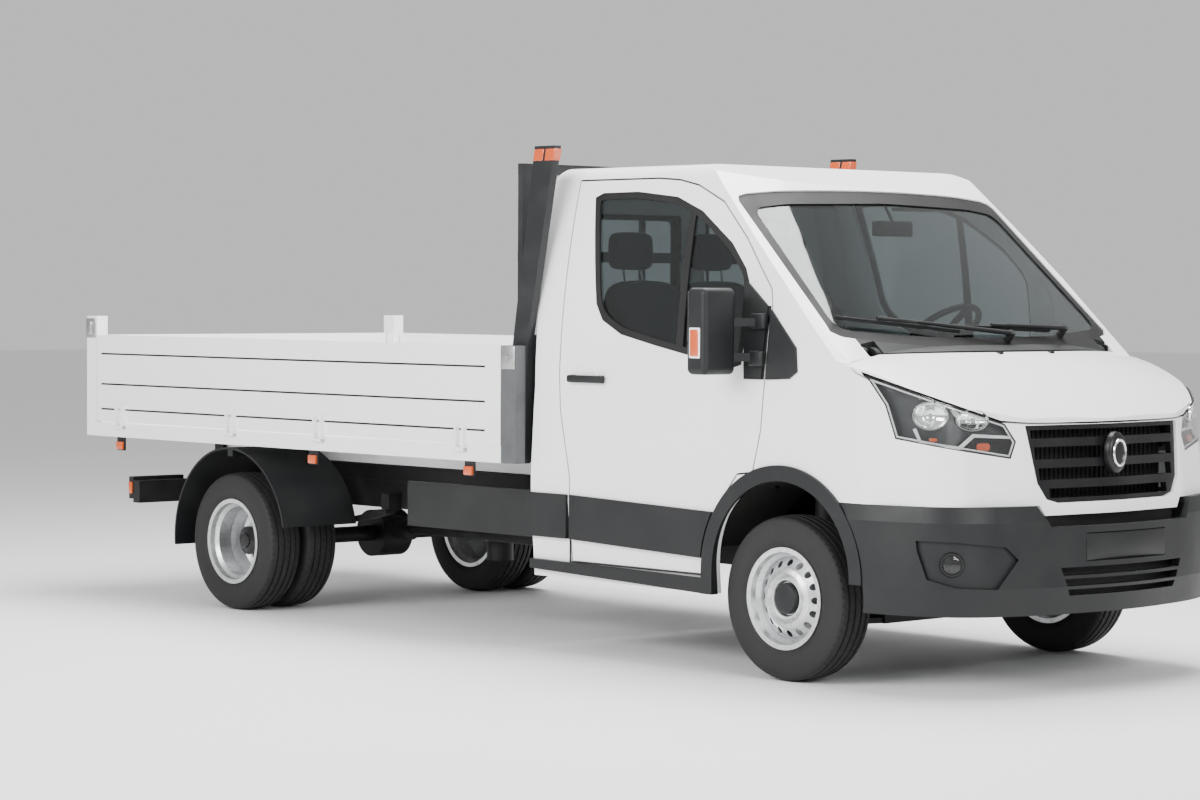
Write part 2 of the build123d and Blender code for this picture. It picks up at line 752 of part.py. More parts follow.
plate_recess = block(front_axle_x + 1074, front_axle_x + 1300, -262, 262, 552, 672)
low_grille_outline = [(-400, 530), (400, 530), (345, 412), (-345, 412)]
arch_cut = rod_y(front_axle_x + arch_centre[0], arch_centre[1], arch_trim_radius + 4, -1300, 1300)
bumper_dip = prism_x([(-520, 800), (-450, 700), (450, 700), (520, 800)], front_axle_x + 900, front_axle_x + 1300)
nose_flange = block(front_axle_x, front_axle_x + 1300, -1300, 1300, 740, 900)
with BuildPart() as nose_core:
    add(nose_inner)
    add(nose_flange, mode=Mode.INTERSECT)
with BuildPart() as low_grille:
    add(prism_x(low_grille_outline, front_axle_x + 900, front_axle_x + 1300))
    for slat_z in (438, 482):
        add(block(front_axle_x + 800, front_axle_x + 1400, -500, 500, slat_z, slat_z + 14), mode=Mode.SUBTRACT)
with BuildPart() as fog_depth:
    add(bumper_form(bumper_low_z, bumper_top_z, 0))
    add(bumper_form(bumper_low_z - 1, bumper_top_z + 1, fog_recess_depth), mode=Mode.SUBTRACT)
with BuildPart() as bumper_front:
    add(bumper_form(bumper_bend_z, bumper_band_z, 0))
    add(bumper_band(bumper_band_z, 0, bumper_top_z, bumper_lean))
    add(bumper_band(bumper_low_z, bumper_tuck, bumper_bend_z, 0))
    add(bumper_form(bumper_low_z - 1, bumper_top_z - bumper_flange, bumper_skin), mode=Mode.SUBTRACT)
    add(block(front_axle_x - 400, front_axle_x + 340, -1300, 1300, 0, 900), mode=Mode.SUBTRACT)
    add(nose_core.part, mode=Mode.SUBTRACT)
    add(arch_cut, mode=Mode.SUBTRACT)
    add(plate_recess, mode=Mode.SUBTRACT)
    add(low_grille.part, mode=Mode.SUBTRACT)
    add(bumper_dip, mode=Mode.SUBTRACT)
    for side in (1, -1):
        with BuildPart() as fog_recess:
            add(fog_depth.part)
            add(fog_cut(side), mode=Mode.INTERSECT)
        add(fog_recess.part, mode=Mode.SUBTRACT)
save(bumper_front.part, "bumper_front")

grille_hole = prism_x([(y * 0.992, z * 0.992 + 8) for y, z in grille_outline], front_axle_x + 700, front_axle_x + 1300)
with BuildPart() as grille:
    add(nose_inner)
    add(inner_form, mode=Mode.SUBTRACT)
    add(grille_hole, mode=Mode.INTERSECT)
with BuildPart() as grille_bars:
    add(pane_outer)
    add(nose_inner, mode=Mode.SUBTRACT)
    add(grille_hole, mode=Mode.INTERSECT)
with BuildPart() as whole_grille:
    add(grille.part)
    add(grille_bars.part)
    for low_z, high_z, half in ((815, 855, 390), (891, 940, 440), (976, 1027, 455), (1063, 1098, 468)):
        add(block(front_axle_x + 700, front_axle_x + 1300, -half, half, low_z, high_z), mode=Mode.SUBTRACT)
save(whole_grille.part, "grille")

for name, side in LEFT_RIGHT:
    with BuildPart() as headlamp:
        add(outer_form)
        add(headlamp_cut(side, 0, 940, 1400), mode=Mode.INTERSECT)
    save(headlamp.part, f"headlamp_{name}")

# Black trim: arch rings, side mouldings, sills, and the mouldings carried by the doors
trim_face_y = 999
door_moulding = [(-1336, 530), (-1336, 733), (-395, 706), (-440, 600), (-470, 501)]
pillar_moulding = [(-1617, 530), (-1617, 733), (-1358, 733), (-1358, 530)]
sill_outline = [(-1617, 380), (-1617, 424), (-460, 412), (-460, 345)]
ring_foot = [(-arch_trim_radius + arch_centre[0], 345), (-arch_opening_radius + arch_centre[0], 345),
             (-arch_opening_radius + arch_centre[0], arch_centre[1] + 1), (-arch_trim_radius + arch_centre[0], arch_centre[1] + 1)]
fixed_sail_outline = [(-78, 1590), (83, 1429), (96, 1327), (51, 1297), (-88, 1290)]
door_sail_outline = [(-247, 1716), (-100, 1605), (-113, 1290), (-219, 1290)]
door_ring_cut = rod_y(front_axle_x + arch_centre[0], arch_centre[1], door_arch_radius, -1300, 1300)
door_zone_trim = grown(door_outline, -2, -1300, 1300)
for name, side in LEFT_RIGHT:
    low_y, high_y = sided(side, 930, trim_face_y)
    with BuildPart() as door_trim:
        add(grown(door_moulding, 0, low_y, high_y))
        add(outer_form, mode=Mode.SUBTRACT)
        add(door_zone_trim, mode=Mode.INTERSECT)
        add(door_ring_cut, mode=Mode.SUBTRACT)
    save(door_trim.part, f"door_trim_{name}")
    skin_low, skin_high = sided(side, 900, 1100)
    with BuildPart() as fixed_sail:
        add(mirror_skin)
        add(outer_form, mode=Mode.SUBTRACT)
        add(grown(fixed_sail_outline, 0, skin_low, skin_high), mode=Mode.INTERSECT)
    with BuildPart() as trim:
        with BuildSketch(Plane.XZ.offset(-high_y)):
            with Locations((front_axle_x + arch_centre[0], arch_centre[1])):
                Circle(arch_trim_radius)
                Circle(arch_opening_radius, mode=Mode.SUBTRACT)
            with Locations((front_axle_x + arch_centre[0], arch_centre[1] - 1000)):
                Rectangle(2000, 2000, mode=Mode.SUBTRACT)
        extrude(amount=high_y - low_y)
        add(grown(ring_foot, 0, low_y, high_y))
        add(grown(pillar_moulding, 0, low_y, high_y))
        sill_low, sill_high = sided(side, 930, trim_face_y - 8)
        add(grown(sill_outline, 0, sill_low, sill_high))
        add(outer_form, mode=Mode.SUBTRACT)
        add(fixed_sail.part)
    save(trim.part, f"trim_{name}")

# Cabin: dashboard, seats, steering wheel
dash_half = 660
dash_outline = [(34, 1328), (34, 760), (-60, 760), (-210, 900), (-330, 1060), (-345, 1270), (-250, 1400), (34, 1440)]
steering_centre = (front_axle_x - 335, 420, 1480)
steering_axis = (-0.64, 0, 0.768)
steering_ring_radius = 188
steering_ring_thick = 15
with BuildPart() as dashboard:
    add(grown(dash_outline, 0, -dash_half, dash_half))
    for side in (1, -1):
        low_y, high_y = sided(side, housing_inner_y - 1, floor_half)
        add(rod_y(front_axle_x, tyre_radius, housing_radius + 1, low_y, high_y), mode=Mode.SUBTRACT)
    with BuildSketch(Plane(origin=Vector(*steering_centre) - Vector(*steering_axis) * 62, z_dir=steering_axis)):
        Circle(34)
    extrude(amount=-170)
save(dashboard.part, "dashboard")

with BuildPart() as steering_wheel:
    with BuildSketch(Plane(origin=steering_centre, x_dir=(0, 1, 0), z_dir=(0.768, 0, 0.64))):
        with Locations((steering_ring_radius, 0)):
            Circle(steering_ring_thick)
    revolve(axis=Axis(steering_centre, steering_axis), revolution_arc=360)
    with BuildSketch(Plane(origin=Vector(*steering_centre) - Vector(*steering_axis) * 20, x_dir=(0, 1, 0), z_dir=steering_axis)):
        Circle(60)
        for turn in (0, 180, 270):
            with Locations(Rotation(0, 0, turn)):
                with Locations((steering_ring_radius / 2, 0)):
                    Rectangle(steering_ring_radius, 34)
    extrude(amount=18)
    with BuildSketch(Plane(origin=Vector(*steering_centre) - Vector(*steering_axis) * 20, x_dir=(0, 1, 0), z_dir=steering_axis)):
        Circle(28)
    extrude(amount=-41.5)
save(steering_wheel.part, "steering_wheel")

seat_floor_z = cab_floor_z + floor_thickness + seat_gap
seat_table = (("seat_driver", (420,), 170, 690), ("seat_bench", (-540, -60), -795, 150))
for node, head_places, seat_low_y, seat_high_y in seat_table:
    with BuildPart() as seat:
        add(block(front_axle_x - 1180, front_axle_x - 760, seat_low_y + 40, seat_high_y - 40, seat_floor_z, 990))
        add(grown([(-1240, 985), (-700, 985), (-690, 1120), (-740, 1150), (-1180, 1110), (-1290, 1700), (-1340, 1740),
                   (-1400, 1720), (-1330, 1100)], 0, seat_low_y, seat_high_y))
        for head_y in head_places:
            add(grown([(-1395, 1725), (-1330, 1725), (-1325, 1780), (-1315, 1920), (-1345, 1940), (-1400, 1920), (-1395, 1780)],
                      0, head_y - 125, head_y + 125))
    save(seat.part, node)

# Door mirrors
mirror_reach_y = 1237
for name, side in LEFT_RIGHT:
    low_y, high_y = sided(side, 900, 1100)
    head_low, head_high = sided(side, 1047, mirror_reach_y)
    with BuildPart() as mirror_sail:
        add(mirror_skin)
        add(outer_form, mode=Mode.SUBTRACT)
        add(grown(door_sail_outline, 0, low_y, high_y), mode=Mode.INTERSECT)
    with BuildPart() as mirror_head:
        add(block(front_axle_x - 325, front_axle_x - 205, head_low, head_high, 1310, 1682))
        fillet(mirror_head.edges(), radius=26)
    with BuildPart() as mirror:
        add(mirror_sail.part)
        for arm_z in (1385, 1535):
            arm = [(-150, 975), (-105, 975), (-225, 1075), (-270, 1075)]
            add(prism_z([(front_axle_x + x, side * y) for x, y in arm], arm_z - 18, arm_z + 18))
        add(outer_form, mode=Mode.SUBTRACT)
        add(mirror_head.part)
    save(mirror.part, f"mirror_{name}")

# Ladder frame: two rails that step down under the cab, cross members and the rear lamp bar
rail_table = [(-4860, 540), (-4860, 680), (-1900, 680), (-1660, 570), (760, 570), (760, 430), (-1720, 430), (-1960, 540)]
rail_inner_y = rail_half_pitch - rail_width / 2
rail_outer_y = rail_half_pitch + rail_width / 2
cross_members = ((-4860, 560, 660), (-4400, 560, 660), (-3500, 560, 660), (-2400, 560, 660), (-1400, 462, 550))
tow_hole_radius = 8.5
tow_hole_pitch = 260
tow_hole_rise = 60
hanger_reach = 680
spring_y = 500
with BuildPart() as chassis_frame:
    for side in (1, -1):
        low_y, high_y = sided(side, rail_inner_y, rail_outer_y)
        add(prism_y(from_axle(rail_table), low_y, high_y))
        hanger_low, hanger_high = sided(side, rail_outer_y, spring_y + 35)
        for reach in (-hanger_reach, hanger_reach):
            add(block(rear_axle_x + reach - 32, rear_axle_x + reach + 32, hanger_low, hanger_high, 540.3, 620))
    for low_x, low_z, high_z in cross_members:
        add(block(front_axle_x + low_x, front_axle_x + low_x + 60, -rail_inner_y - 1, rail_inner_y + 1, low_z, high_z))
    add(block(front_axle_x + 740, front_axle_x + 800, -600, 600, 455, 555))
    add(block(front_axle_x - 4980, front_axle_x - 4920, -930, 930, 500, 620))
    for side in (1, -1):
        low_y, high_y = sided(side, 600, 930)
        add(block(front_axle_x - 5020, front_axle_x - 4979, low_y, high_y, 520, 640))
        low_y, high_y = sided(side, rail_inner_y, rail_outer_y)
        add(block(front_axle_x - 4921, front_axle_x - 4859, low_y, high_y, 545, 620))
    with BuildSketch(Plane.YZ.offset(front_axle_x - 4860)):
        with Locations((0, 610)):
            with GridLocations(tow_hole_pitch, tow_hole_rise, 2, 2):
                Circle(tow_hole_radius)
    extrude(amount=60, mode=Mode.SUBTRACT)
save(chassis_frame.part, "chassis_frame")

with BuildPart() as engine:
    add(block(front_axle_x + 130, front_axle_x + 620, -280, 280, 470, 1020))
    add(block(front_axle_x + 300, front_axle_x + 380, -rail_inner_y + seat_gap, rail_inner_y - seat_gap, 500, 545))
save(engine.part, "engine")

gearbox_rear_x = front_axle_x - 900
shaft_z = 400
ram_y = 160
with BuildPart() as gearbox:
    add(block(front_axle_x - 420, front_axle_x + 130 - seat_gap, -165, 165, 335, 575))
    add(block(gearbox_rear_x, front_axle_x - 420, -110, 110, 345, 520))
    add(block(front_axle_x - 760, front_axle_x - 700, -rail_inner_y + seat_gap, rail_inner_y - seat_gap, 440, 490))
save(gearbox.part, "gearbox")

diff_radius = 125
with BuildPart() as propshaft:
    add(rod_x(0, shaft_z, 38, rear_axle_x + diff_radius + 110 + seat_gap, gearbox_rear_x - seat_gap))
save(propshaft.part, "propshaft")

with BuildPart() as rear_axle:
    add(rod_y(rear_axle_x, tyre_radius, 42, -640, 640))
    add(rod_y(rear_axle_x, tyre_radius, 30, -860, 860))
    add(rod_y(rear_axle_x, tyre_radius, diff_radius, -95, 95))
    add(rod_x(0, shaft_z - 10, 62, rear_axle_x, rear_axle_x + diff_radius + 110))
    for side in (1, -1):
        low_y, high_y = sided(side, spring_y - 36, spring_y + 36)
        add(block(rear_axle_x - 60, rear_axle_x + 60, low_y, high_y, 340, 425))
save(rear_axle.part, "rear_axle")

leaf = [(-hanger_reach, 515), (-hanger_reach, 540), (-330, 475), (0, 463), (330, 475), (hanger_reach, 540),
        (hanger_reach, 515), (520, 478), (330, 450), (120, 425 + seat_gap), (-120, 425 + seat_gap), (-330, 450), (-520, 478)]
with BuildPart() as leaf_springs:
    for side in (1, -1):
        low_y, high_y = sided(side, spring_y - 32, spring_y + 32)
        add(prism_y([(rear_axle_x + x, z) for x, z in leaf], low_y, high_y))
save(leaf_springs.part, "leaf_springs")

with BuildPart() as front_axle:
    add(block(front_axle_x - 150, front_axle_x + 120, -450, 450, 225, 300))
    for side in (1, -1):
        low_y, high_y = sided(side, rail_inner_y, rail_outer_y)
        add(block(front_axle_x - 70, front_axle_x + 70, low_y, high_y, 299, 430 - seat_gap))
        arm = [(-140, 440), (110, 440), (32, 690), (-32, 690)]
        add(prism_z([(front_axle_x + x, side * y) for x, y in arm], 226, 250))
        add(rod_z(front_axle_x, side * kingpin_y, 34, 210, 250))
save(front_axle.part, "front_axle")

with BuildPart() as fuel_tank:
    add(block(front_axle_x - 2750, front_axle_x - 1950, rail_outer_y + seat_gap, 800, 380, 640))
    fillet(fuel_tank.edges().filter_by(Axis.X), radius=45)
save(fuel_tank.part, "fuel_tank")

with BuildPart() as side_panel:
    add(block(front_axle_x - 2760, front_axle_x - 1640, -800, -784, 500, 720))
    for x in (-2500, -1900):
        add(block(front_axle_x + x, front_axle_x + x + 50, -785, -rail_outer_y - seat_gap, 570, 610))
save(side_panel.part, "side_panel")

# Wheels
barrel = [(0, 220), (7, 220), (9, 205), (32, 201), (48, 185), (112, 185), (136, 201), (175, 205), (177, 220), (184, 220),
          (182, 199), (138, 194), (116, 178), (44, 178), (28, 194), (2, 199)]
front_disc = [(62, 180), (22, 128), (14, 108), (30, 92), (34, 86), (34, 25.06), (110, 25.06), (110, 60), (42, 60), (42, 90),
              (38, 96), (22, 110), (30, 132), (70, 180)]
front_brake = [(108, 40), (124, 40), (124, 150), (108, 150)]
rear_disc = [(124, 188), (186, 160), (197, 140), (197, 69), (208, 69), (208, 144), (196, 169), (137, 197)]
rim_face_depth = 92
tyre_half = [(0, 356), (70, 352), (86, 345), (96, 322), (100, 285), (95, 238), (84.4, 220.6), (82.4, 205.6),
             (70, 205.6), (72, 226), (84, 246), (88, 285), (82, 316), (66, 334), (0, 341)]
FRONT_HOLES = 16
REAR_HOLES = 8


def turned(outline, x, z, y_origin, y_way):
    """A wheel profile of depth and radius points turned about an axle at x, z."""
    with BuildPart() as solid:
        with BuildSketch(Plane(origin=(x, 0, z), x_dir=(0, 1, 0), z_dir=(1, 0, 0))):
            with BuildLine():
                Polyline(*[(y_origin + y_way * depth, radius) for depth, radius in outline], close=True)
            make_face()
        revolve(axis=Axis((x, 0, z), (0, 1, 0)), revolution_arc=360)
    return solid.part


def tyre(x, y):
    """A tyre centred at x, y."""
    outline = tyre_half + [(-w, r) for w, r in reversed(tyre_half[1:-1])]
    return turned(outline, x, tyre_radius, y, 1)


for name, side in LEFT_RIGHT:
    save(tyre(front_axle_x, side * front_wheel_y), f"front_tyre_{name}")
    face_y = side * (front_wheel_y + rim_face_depth)
    front_pieces = [turned(shape, front_axle_x, tyre_radius, face_y, -side) for shape in (barrel, front_disc, front_brake)]
    low_y, high_y = sided(side, front_wheel_y + 20, front_wheel_y + 100)
    with BuildPart() as front_rim:
        for piece in front_pieces:
            add(piece)
        with BuildSketch(Plane.XZ.offset(-high_y)):
            with Locations((front_axle_x, tyre_radius)):
                with PolarLocations(152, FRONT_HOLES):
                    Circle(15)
        extrude(amount=high_y - low_y, mode=Mode.SUBTRACT)
    save(front_rim.part, f"front_rim_{name}")

    outer_y = side * (rear_wheel_y + twin_pitch / 2)
    inner_y = side * (rear_wheel_y - twin_pitch / 2)
    outer_tyre = tyre(rear_axle_x, outer_y)
    inner_tyre = tyre(rear_axle_x, inner_y)
    with BuildPart() as rear_tyres:
        add(outer_tyre)
        add(inner_tyre)
    save(rear_tyres.part, f"rear_tyres_{name}")
    rear_pieces = []
    for face, way in ((outer_y + side * rim_face_depth, -side), (inner_y - side * rim_face_depth, side)):
        rear_pieces += [turned(shape, rear_axle_x, tyre_radius, face, way) for shape in (barrel, rear_disc)]
    hub = [(0, 0), (50, 0), (50, 30.06), (190, 30.06), (190, 70), (30, 70), (0, 52)]
    rear_pieces.append(turned(hub, rear_axle_x, tyre_radius, side * 910, -side))
    low_y, high_y = sided(side, rear_wheel_y - 20, rear_wheel_y + 20)
    with BuildPart() as rear_rim:
        for piece in rear_pieces:
            add(piece)
        with BuildSketch(Plane.XZ.offset(-high_y)):
            with Locations((rear_axle_x, tyre_radius)):
                with PolarLocations(112, REAR_HOLES):
                    Circle(17)
        extrude(amount=high_y - low_y, mode=Mode.SUBTRACT)
    save(rear_rim.part, f"rear_rim_{name}")

    knuckle_low, knuckle_high = sided(side, kingpin_y - 32, kingpin_y + 40)
    stub_low, stub_high = sided(side, kingpin_y + 39, front_wheel_y + 50)
    with BuildPart() as knuckle:
        add(block(front_axle_x - 36, front_axle_x + 36, knuckle_low, knuckle_high, 250 + seat_gap, 500))
        add(rod_z(front_axle_x, side * kingpin_y, 28, 499, 823 - seat_gap))
        add(rod_z(front_axle_x, side * kingpin_y, 50, 620, 800))
        add(rod_y(front_axle_x, tyre_radius, 25, stub_low, stub_high))
    save(knuckle.part, f"knuckle_{name}")

# Rear mudguards
guard_radius = 488
guard_thickness = 10
with BuildPart() as mudguards:
    for side in (1, -1):
        low_y, high_y = sided(side, 565, 1030)
        with BuildSketch(Plane.XZ.offset(-high_y)):
            with Locations((rear_axle_x, tyre_radius)):
                Circle(guard_radius)
                Circle(guard_radius - guard_thickness, mode=Mode.SUBTRACT)
            with Locations((rear_axle_x + 400, tyre_radius - 400 + 100), (rear_axle_x - 400, tyre_radius - 445)):
                Rectangle(800, 800, mode=Mode.SUBTRACT)
        extrude(amount=high_y - low_y)
        bar_low, bar_high = sided(side, rail_outer_y + seat_gap, 1020)
        add(block(rear_axle_x - 22, rear_axle_x + 22, bar_low, bar_high, 798, 835))
        post_low, post_high = sided(side, rail_outer_y + seat_gap, rail_outer_y + 20)
        add(block(rear_axle_x - 22, rear_axle_x + 22, post_low, post_high, 700, 800))
save(mudguards.part, "mudguards")

# Tipper subframe with hinge lugs and the ram's cradle
subframe_low_z = rail_top_z + seat_gap
hinge_pin_radius = 16
ram_cradle_half = 92
with BuildPart() as subframe:
    for side in (1, -1):
        low_y, high_y = sided(side, rail_inner_y, rail_outer_y)
        add(block(front_axle_x - 4770, front_axle_x - 1920, low_y, high_y, subframe_low_z, subframe_top_z))
        low_y, high_y = sided(side, rail_outer_y - 1, 492)
        add(block(front_axle_x - 4850, front_axle_x - 4700, low_y, high_y, subframe_low_z + 10, subframe_top_z - 5))
        for plate_low, plate_high in ((472, 492), (358, 378)):
            low_y, high_y = sided(side, plate_low, plate_high)
            add(block(tip_hinge_x - 36, tip_hinge_x + 40, low_y, high_y, subframe_low_z + 10, tip_hinge_z + 28))
        low_y, high_y = sided(side, 358, 492)
        add(rod_y(tip_hinge_x, tip_hinge_z, hinge_pin_radius, low_y, high_y))
    for cross_x in (-1985, -2600, -4000):
        add(block(front_axle_x + cross_x, front_axle_x + cross_x + 50, -rail_inner_y - 1, rail_inner_y + 1, 690, 745))
    add(block(tip_hinge_x - 36, tip_hinge_x + 10, -rail_outer_y - 10, rail_outer_y + 10, 690, 740))
    for cross_x in (ram_eye_x - 260, ram_eye_x + 130):
        add(block(cross_x, cross_x + 50, -rail_inner_y - 1, rail_inner_y + 1, 690, 745))
    for way in (-1, 1):
        low_y, high_y = sorted((ram_y + way * ram_cradle_half, ram_y + way * (ram_cradle_half + 12)))
        cradle = [(-240, 745), (-240, 700), (-34, 465), (34, 465), (150, 700), (150, 745)]
        add(prism_y([(ram_eye_x + x, z) for x, z in cradle], low_y, high_y))
        add(rod_y(ram_eye_x, ram_trunnion_z, 18.4, low_y - 1, high_y + 1), mode=Mode.SUBTRACT)
save(subframe.part, "subframe")

# Telescopic ram: barrel on trunnions, two sleeves and the rod with its eye
stage_table = (
    ("ram_barrel", 70, 60, 250, 715),
    ("ram_stage_1", 59.5, 49, 268, 722),
    ("ram_stage_2", 48.5, 37, 274, 729),
)
for node, outer, inner, low_z, high_z in stage_table:
    with BuildPart() as stage:
        add(rod_z(ram_eye_x, ram_y, outer, low_z, high_z))
        add(rod_z(ram_eye_x, ram_y, inner, low_z + (14 if node == "ram_barrel" else 0), high_z + 1), mode=Mode.SUBTRACT)
        if node == "ram_barrel":
            for way in (-1, 1):
                low_y, high_y = sorted((ram_y + way * 66, ram_y + way * (ram_cradle_half + 14)))
                add(rod_y(ram_eye_x, ram_trunnion_z, 18, low_y, high_y))
    save(stage.part, node)
ram_neck_z = 705
with BuildPart() as ram_rod:
    add(rod_z(ram_eye_x, ram_y, 36.5, 280, ram_neck_z))
    add(block(ram_eye_x - 24, ram_eye_x + 24, ram_y - 22, ram_y + 22, ram_neck_z - 1, ram_eye_z))
    add(rod_y(ram_eye_x, ram_eye_z, 28, ram_y - 22, ram_y + 22))
    add(rod_y(ram_eye_x, ram_eye_z, 14, ram_y - 23.7, ram_y + 23.7))
save(ram_rod.part, "ram_rod")

# Load bed
bed_rear_x = tail_x + 23
bed_inner_half = bed_half_width - board_thickness
hinge_places = [-4890, -3874, -3127, -2022]
gate_hinge_places = [-780, -260, 260, 780]
rear_post_x = front_axle_x - 5132
corner_post_inner_y = 995
post_foot_depth = 12
board_low_z = bed_floor_z + board_gap
board_top_z = 1410
with BuildPart() as bed_floor:
    add(block(bed_rear_x, bed_front_x, -bed_half_width + 1, bed_half_width - 1, 912, bed_floor_z))
    for side in (1, -1):
        low_y, high_y = sided(side, bed_half_width - 30, bed_half_width)
        add(block(bed_rear_x, bed_front_x, low_y, high_y, bed_frame_z, bed_floor_z))
        low_y, high_y = sided(side, rail_inner_y, rail_outer_y)
        add(block(tip_hinge_x, bed_front_x, low_y, high_y, subframe_top_z + 5, bed_frame_z + 1))
        add(block(tip_hinge_x - 35, tip_hinge_x + 1, low_y, high_y, tip_hinge_z, bed_frame_z + 1))
        add(rod_y(tip_hinge_x, tip_hinge_z, 35, low_y, high_y))
        add(rod_y(tip_hinge_x, tip_hinge_z, hinge_pin_radius + 0.3, low_y - 1, high_y + 1), mode=Mode.SUBTRACT)
        for hinge_x in hinge_places:
            low_y, high_y = sided(side, bed_half_width - 1, board_hinge_y)
            add(block(front_axle_x + hinge_x - 20, front_axle_x + hinge_x + 20, low_y, high_y, board_hinge_z - 11, board_hinge_z + 11))
            add(rod_x(side * board_hinge_y, board_hinge_z, 11, front_axle_x + hinge_x - 20, front_axle_x + hinge_x + 20))
            add(rod_x(side * board_hinge_y, board_hinge_z, 5.4, front_axle_x + hinge_x - 21, front_axle_x + hinge_x + 21), mode=Mode.SUBTRACT)
    add(block(bed_rear_x, bed_rear_x + 30, -bed_half_width, bed_half_width, bed_frame_z, bed_floor_z))
    bearer_count = 7
    for index in range(bearer_count):
        bearer_x = bed_rear_x + 120 + index * (bed_front_x - bed_rear_x - 220) / (bearer_count - 1)
        add(block(bearer_x - 25, bearer_x + 25, -bed_half_width + 10, bed_half_width - 10, bed_frame_z, 913))
    gate_axis_x = bed_rear_x - 12
    for hinge_y in gate_hinge_places:
        add(block(gate_axis_x, bed_rear_x + 1, hinge_y - 20, hinge_y + 20, board_hinge_z - 11, board_hinge_z + 11))
        add(rod_y(gate_axis_x, board_hinge_z, 11, hinge_y - 20, hinge_y + 20))
        add(rod_y(gate_axis_x, board_hinge_z, 5.4, hinge_y - 21, hinge_y + 21), mode=Mode.SUBTRACT)
    for way in (-1, 1):
        low_y, high_y = sorted((ram_y + way * 24, ram_y + way * 40))
        add(block(ram_eye_x - 30, ram_eye_x + 30, low_y, high_y, ram_eye_z - 28, 913))
    for side in (1, -1):
        low_y, high_y = sided(side, corner_post_inner_y - 1, bed_half_width + 1)
        foot_z = bed_floor_z - post_foot_depth
        add(block(bed_rear_x - 1, rear_post_x + 1, low_y, high_y, foot_z, bed_floor_z + 1), mode=Mode.SUBTRACT)
save(bed_floor.part, "bed_floor")

with BuildPart() as corner_posts:
    for side in (1, -1):
        low_y, high_y = sided(side, corner_post_inner_y, bed_half_width)
        foot_z = bed_floor_z - post_foot_depth + seat_gap
        add(block(bed_rear_x, rear_post_x, low_y, high_y, foot_z, 1513))
save(corner_posts.part, "corner_posts")

groove_heights = (1309, 1145, 1010)
for name, side in LEFT_RIGHT:
    low_y, high_y = sided(side, bed_inner_half, bed_half_width)
    groove_low, groove_high = sided(side, bed_half_width - 5, bed_half_width + 5)
    with BuildPart() as board:
        add(block(rear_post_x + 6, bed_front_x - 4, low_y, high_y, board_low_z, board_top_z))
        for groove_z in groove_heights:
            add(block(rear_post_x + 40, bed_front_x - 110, groove_low, groove_high, groove_z - 5, groove_z + 5), mode=Mode.SUBTRACT)
        for hinge_x in hinge_places:
            for way in (-1, 1):
                ear_low, ear_high = sorted((front_axle_x + hinge_x + way * 21, front_axle_x + hinge_x + way * 34))
                strap_low, strap_high = sided(side, bed_half_width + 1, board_hinge_y + 11)
                add(block(ear_low, ear_high, strap_low, strap_high, board_hinge_z, board_low_z + 90))
                seat_low, seat_high = sided(side, bed_half_width - 1, board_hinge_y)
                add(block(ear_low, ear_high, seat_low, seat_high, board_low_z + 1, board_low_z + 90))
                add(rod_x(side * board_hinge_y, board_hinge_z, 11, ear_low, ear_high))
            add(rod_x(side * board_hinge_y, board_hinge_z, 5, front_axle_x + hinge_x - 33, front_axle_x + hinge_x + 33))
    save(board.part, f"side_board_{name}")

with BuildPart() as tailgate:
    add(block(bed_rear_x, bed_rear_x + board_thickness, -989, 989, board_low_z, board_top_z))
    for groove_z in groove_heights:
        add(block(bed_rear_x - 5, bed_rear_x + 5, -940, 940, groove_z - 5, groove_z + 5), mode=Mode.SUBTRACT)
    for hinge_y in gate_hinge_places:
        for way in (-1, 1):
            ear_low, ear_high = sorted((hinge_y + way * 21, hinge_y + way * 34))
            add(block(gate_axis_x - 11, bed_rear_x - 1, ear_low, ear_high, board_hinge_z, board_low_z + 90))
            add(block(gate_axis_x, bed_rear_x + 1, ear_low, ear_high, board_low_z + 1, board_low_z + 90))
            add(rod_y(gate_axis_x, board_hinge_z, 11, ear_low, ear_high))
        add(rod_y(gate_axis_x, board_hinge_z, 5, hinge_y - 33, hinge_y + 33))
save(tailgate.part, "tailgate")

# Headboard: front panel, grey corner posts, leaning black posts and the guard frame behind the cab
post_inner_y = 966
post_outer_y = 1006
with BuildPart() as headboard:
    add(block(bed_front_x, bed_front_x + 30, -bed_half_width, bed_half_width, bed_frame_z, board_top_z))
    for side in (1, -1):
        low_y, high_y = sided(side, 1006, bed_half_width)
        add(block(bed_front_x, bed_front_x + 105, low_y, high_y, bed_frame_z, board_top_z))
        low_y, high_y = sided(side, post_inner_y, post_outer_y)
        post = [(-1730, 862), (-1645, 862), (-1628, 1410), (-1438, 2330), (-1577, 2330), (-1728, 1410)]
        add(prism_y(from_axle(post), low_y, high_y))
        low_y, high_y = sided(side, 905, post_inner_y)
        add(block(bed_front_x, bed_front_x + 34, low_y, high_y, 1409, 2256))
    for beam_z in (1409, 1800, 2206):
        add(block(bed_front_x, bed_front_x + 34, -post_inner_y - 1, post_inner_y + 1, beam_z, beam_z + 50))
    for bar_y in (-560, -190, 190, 560):
        add(block(bed_front_x + 5, bed_front_x + 29, bar_y - 12, bar_y + 12, 1409, 2210))
save(headboard.part, "headboard")
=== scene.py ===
# %% [markdown]
# A light drop-side tipper truck, dressed for the camera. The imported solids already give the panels,
# the frame and the moving bodies, so this lesson loads them first and never moves them. Everything
# that follows adds finishes, glass, lamps, rubber and small fittings in the same metres.

# %% Load the fixed frame
from math import cos, pi, radians, sin

import bmesh
import bpy
from mathutils import Matrix, Vector
from mathutils.bvhtree import BVHTree


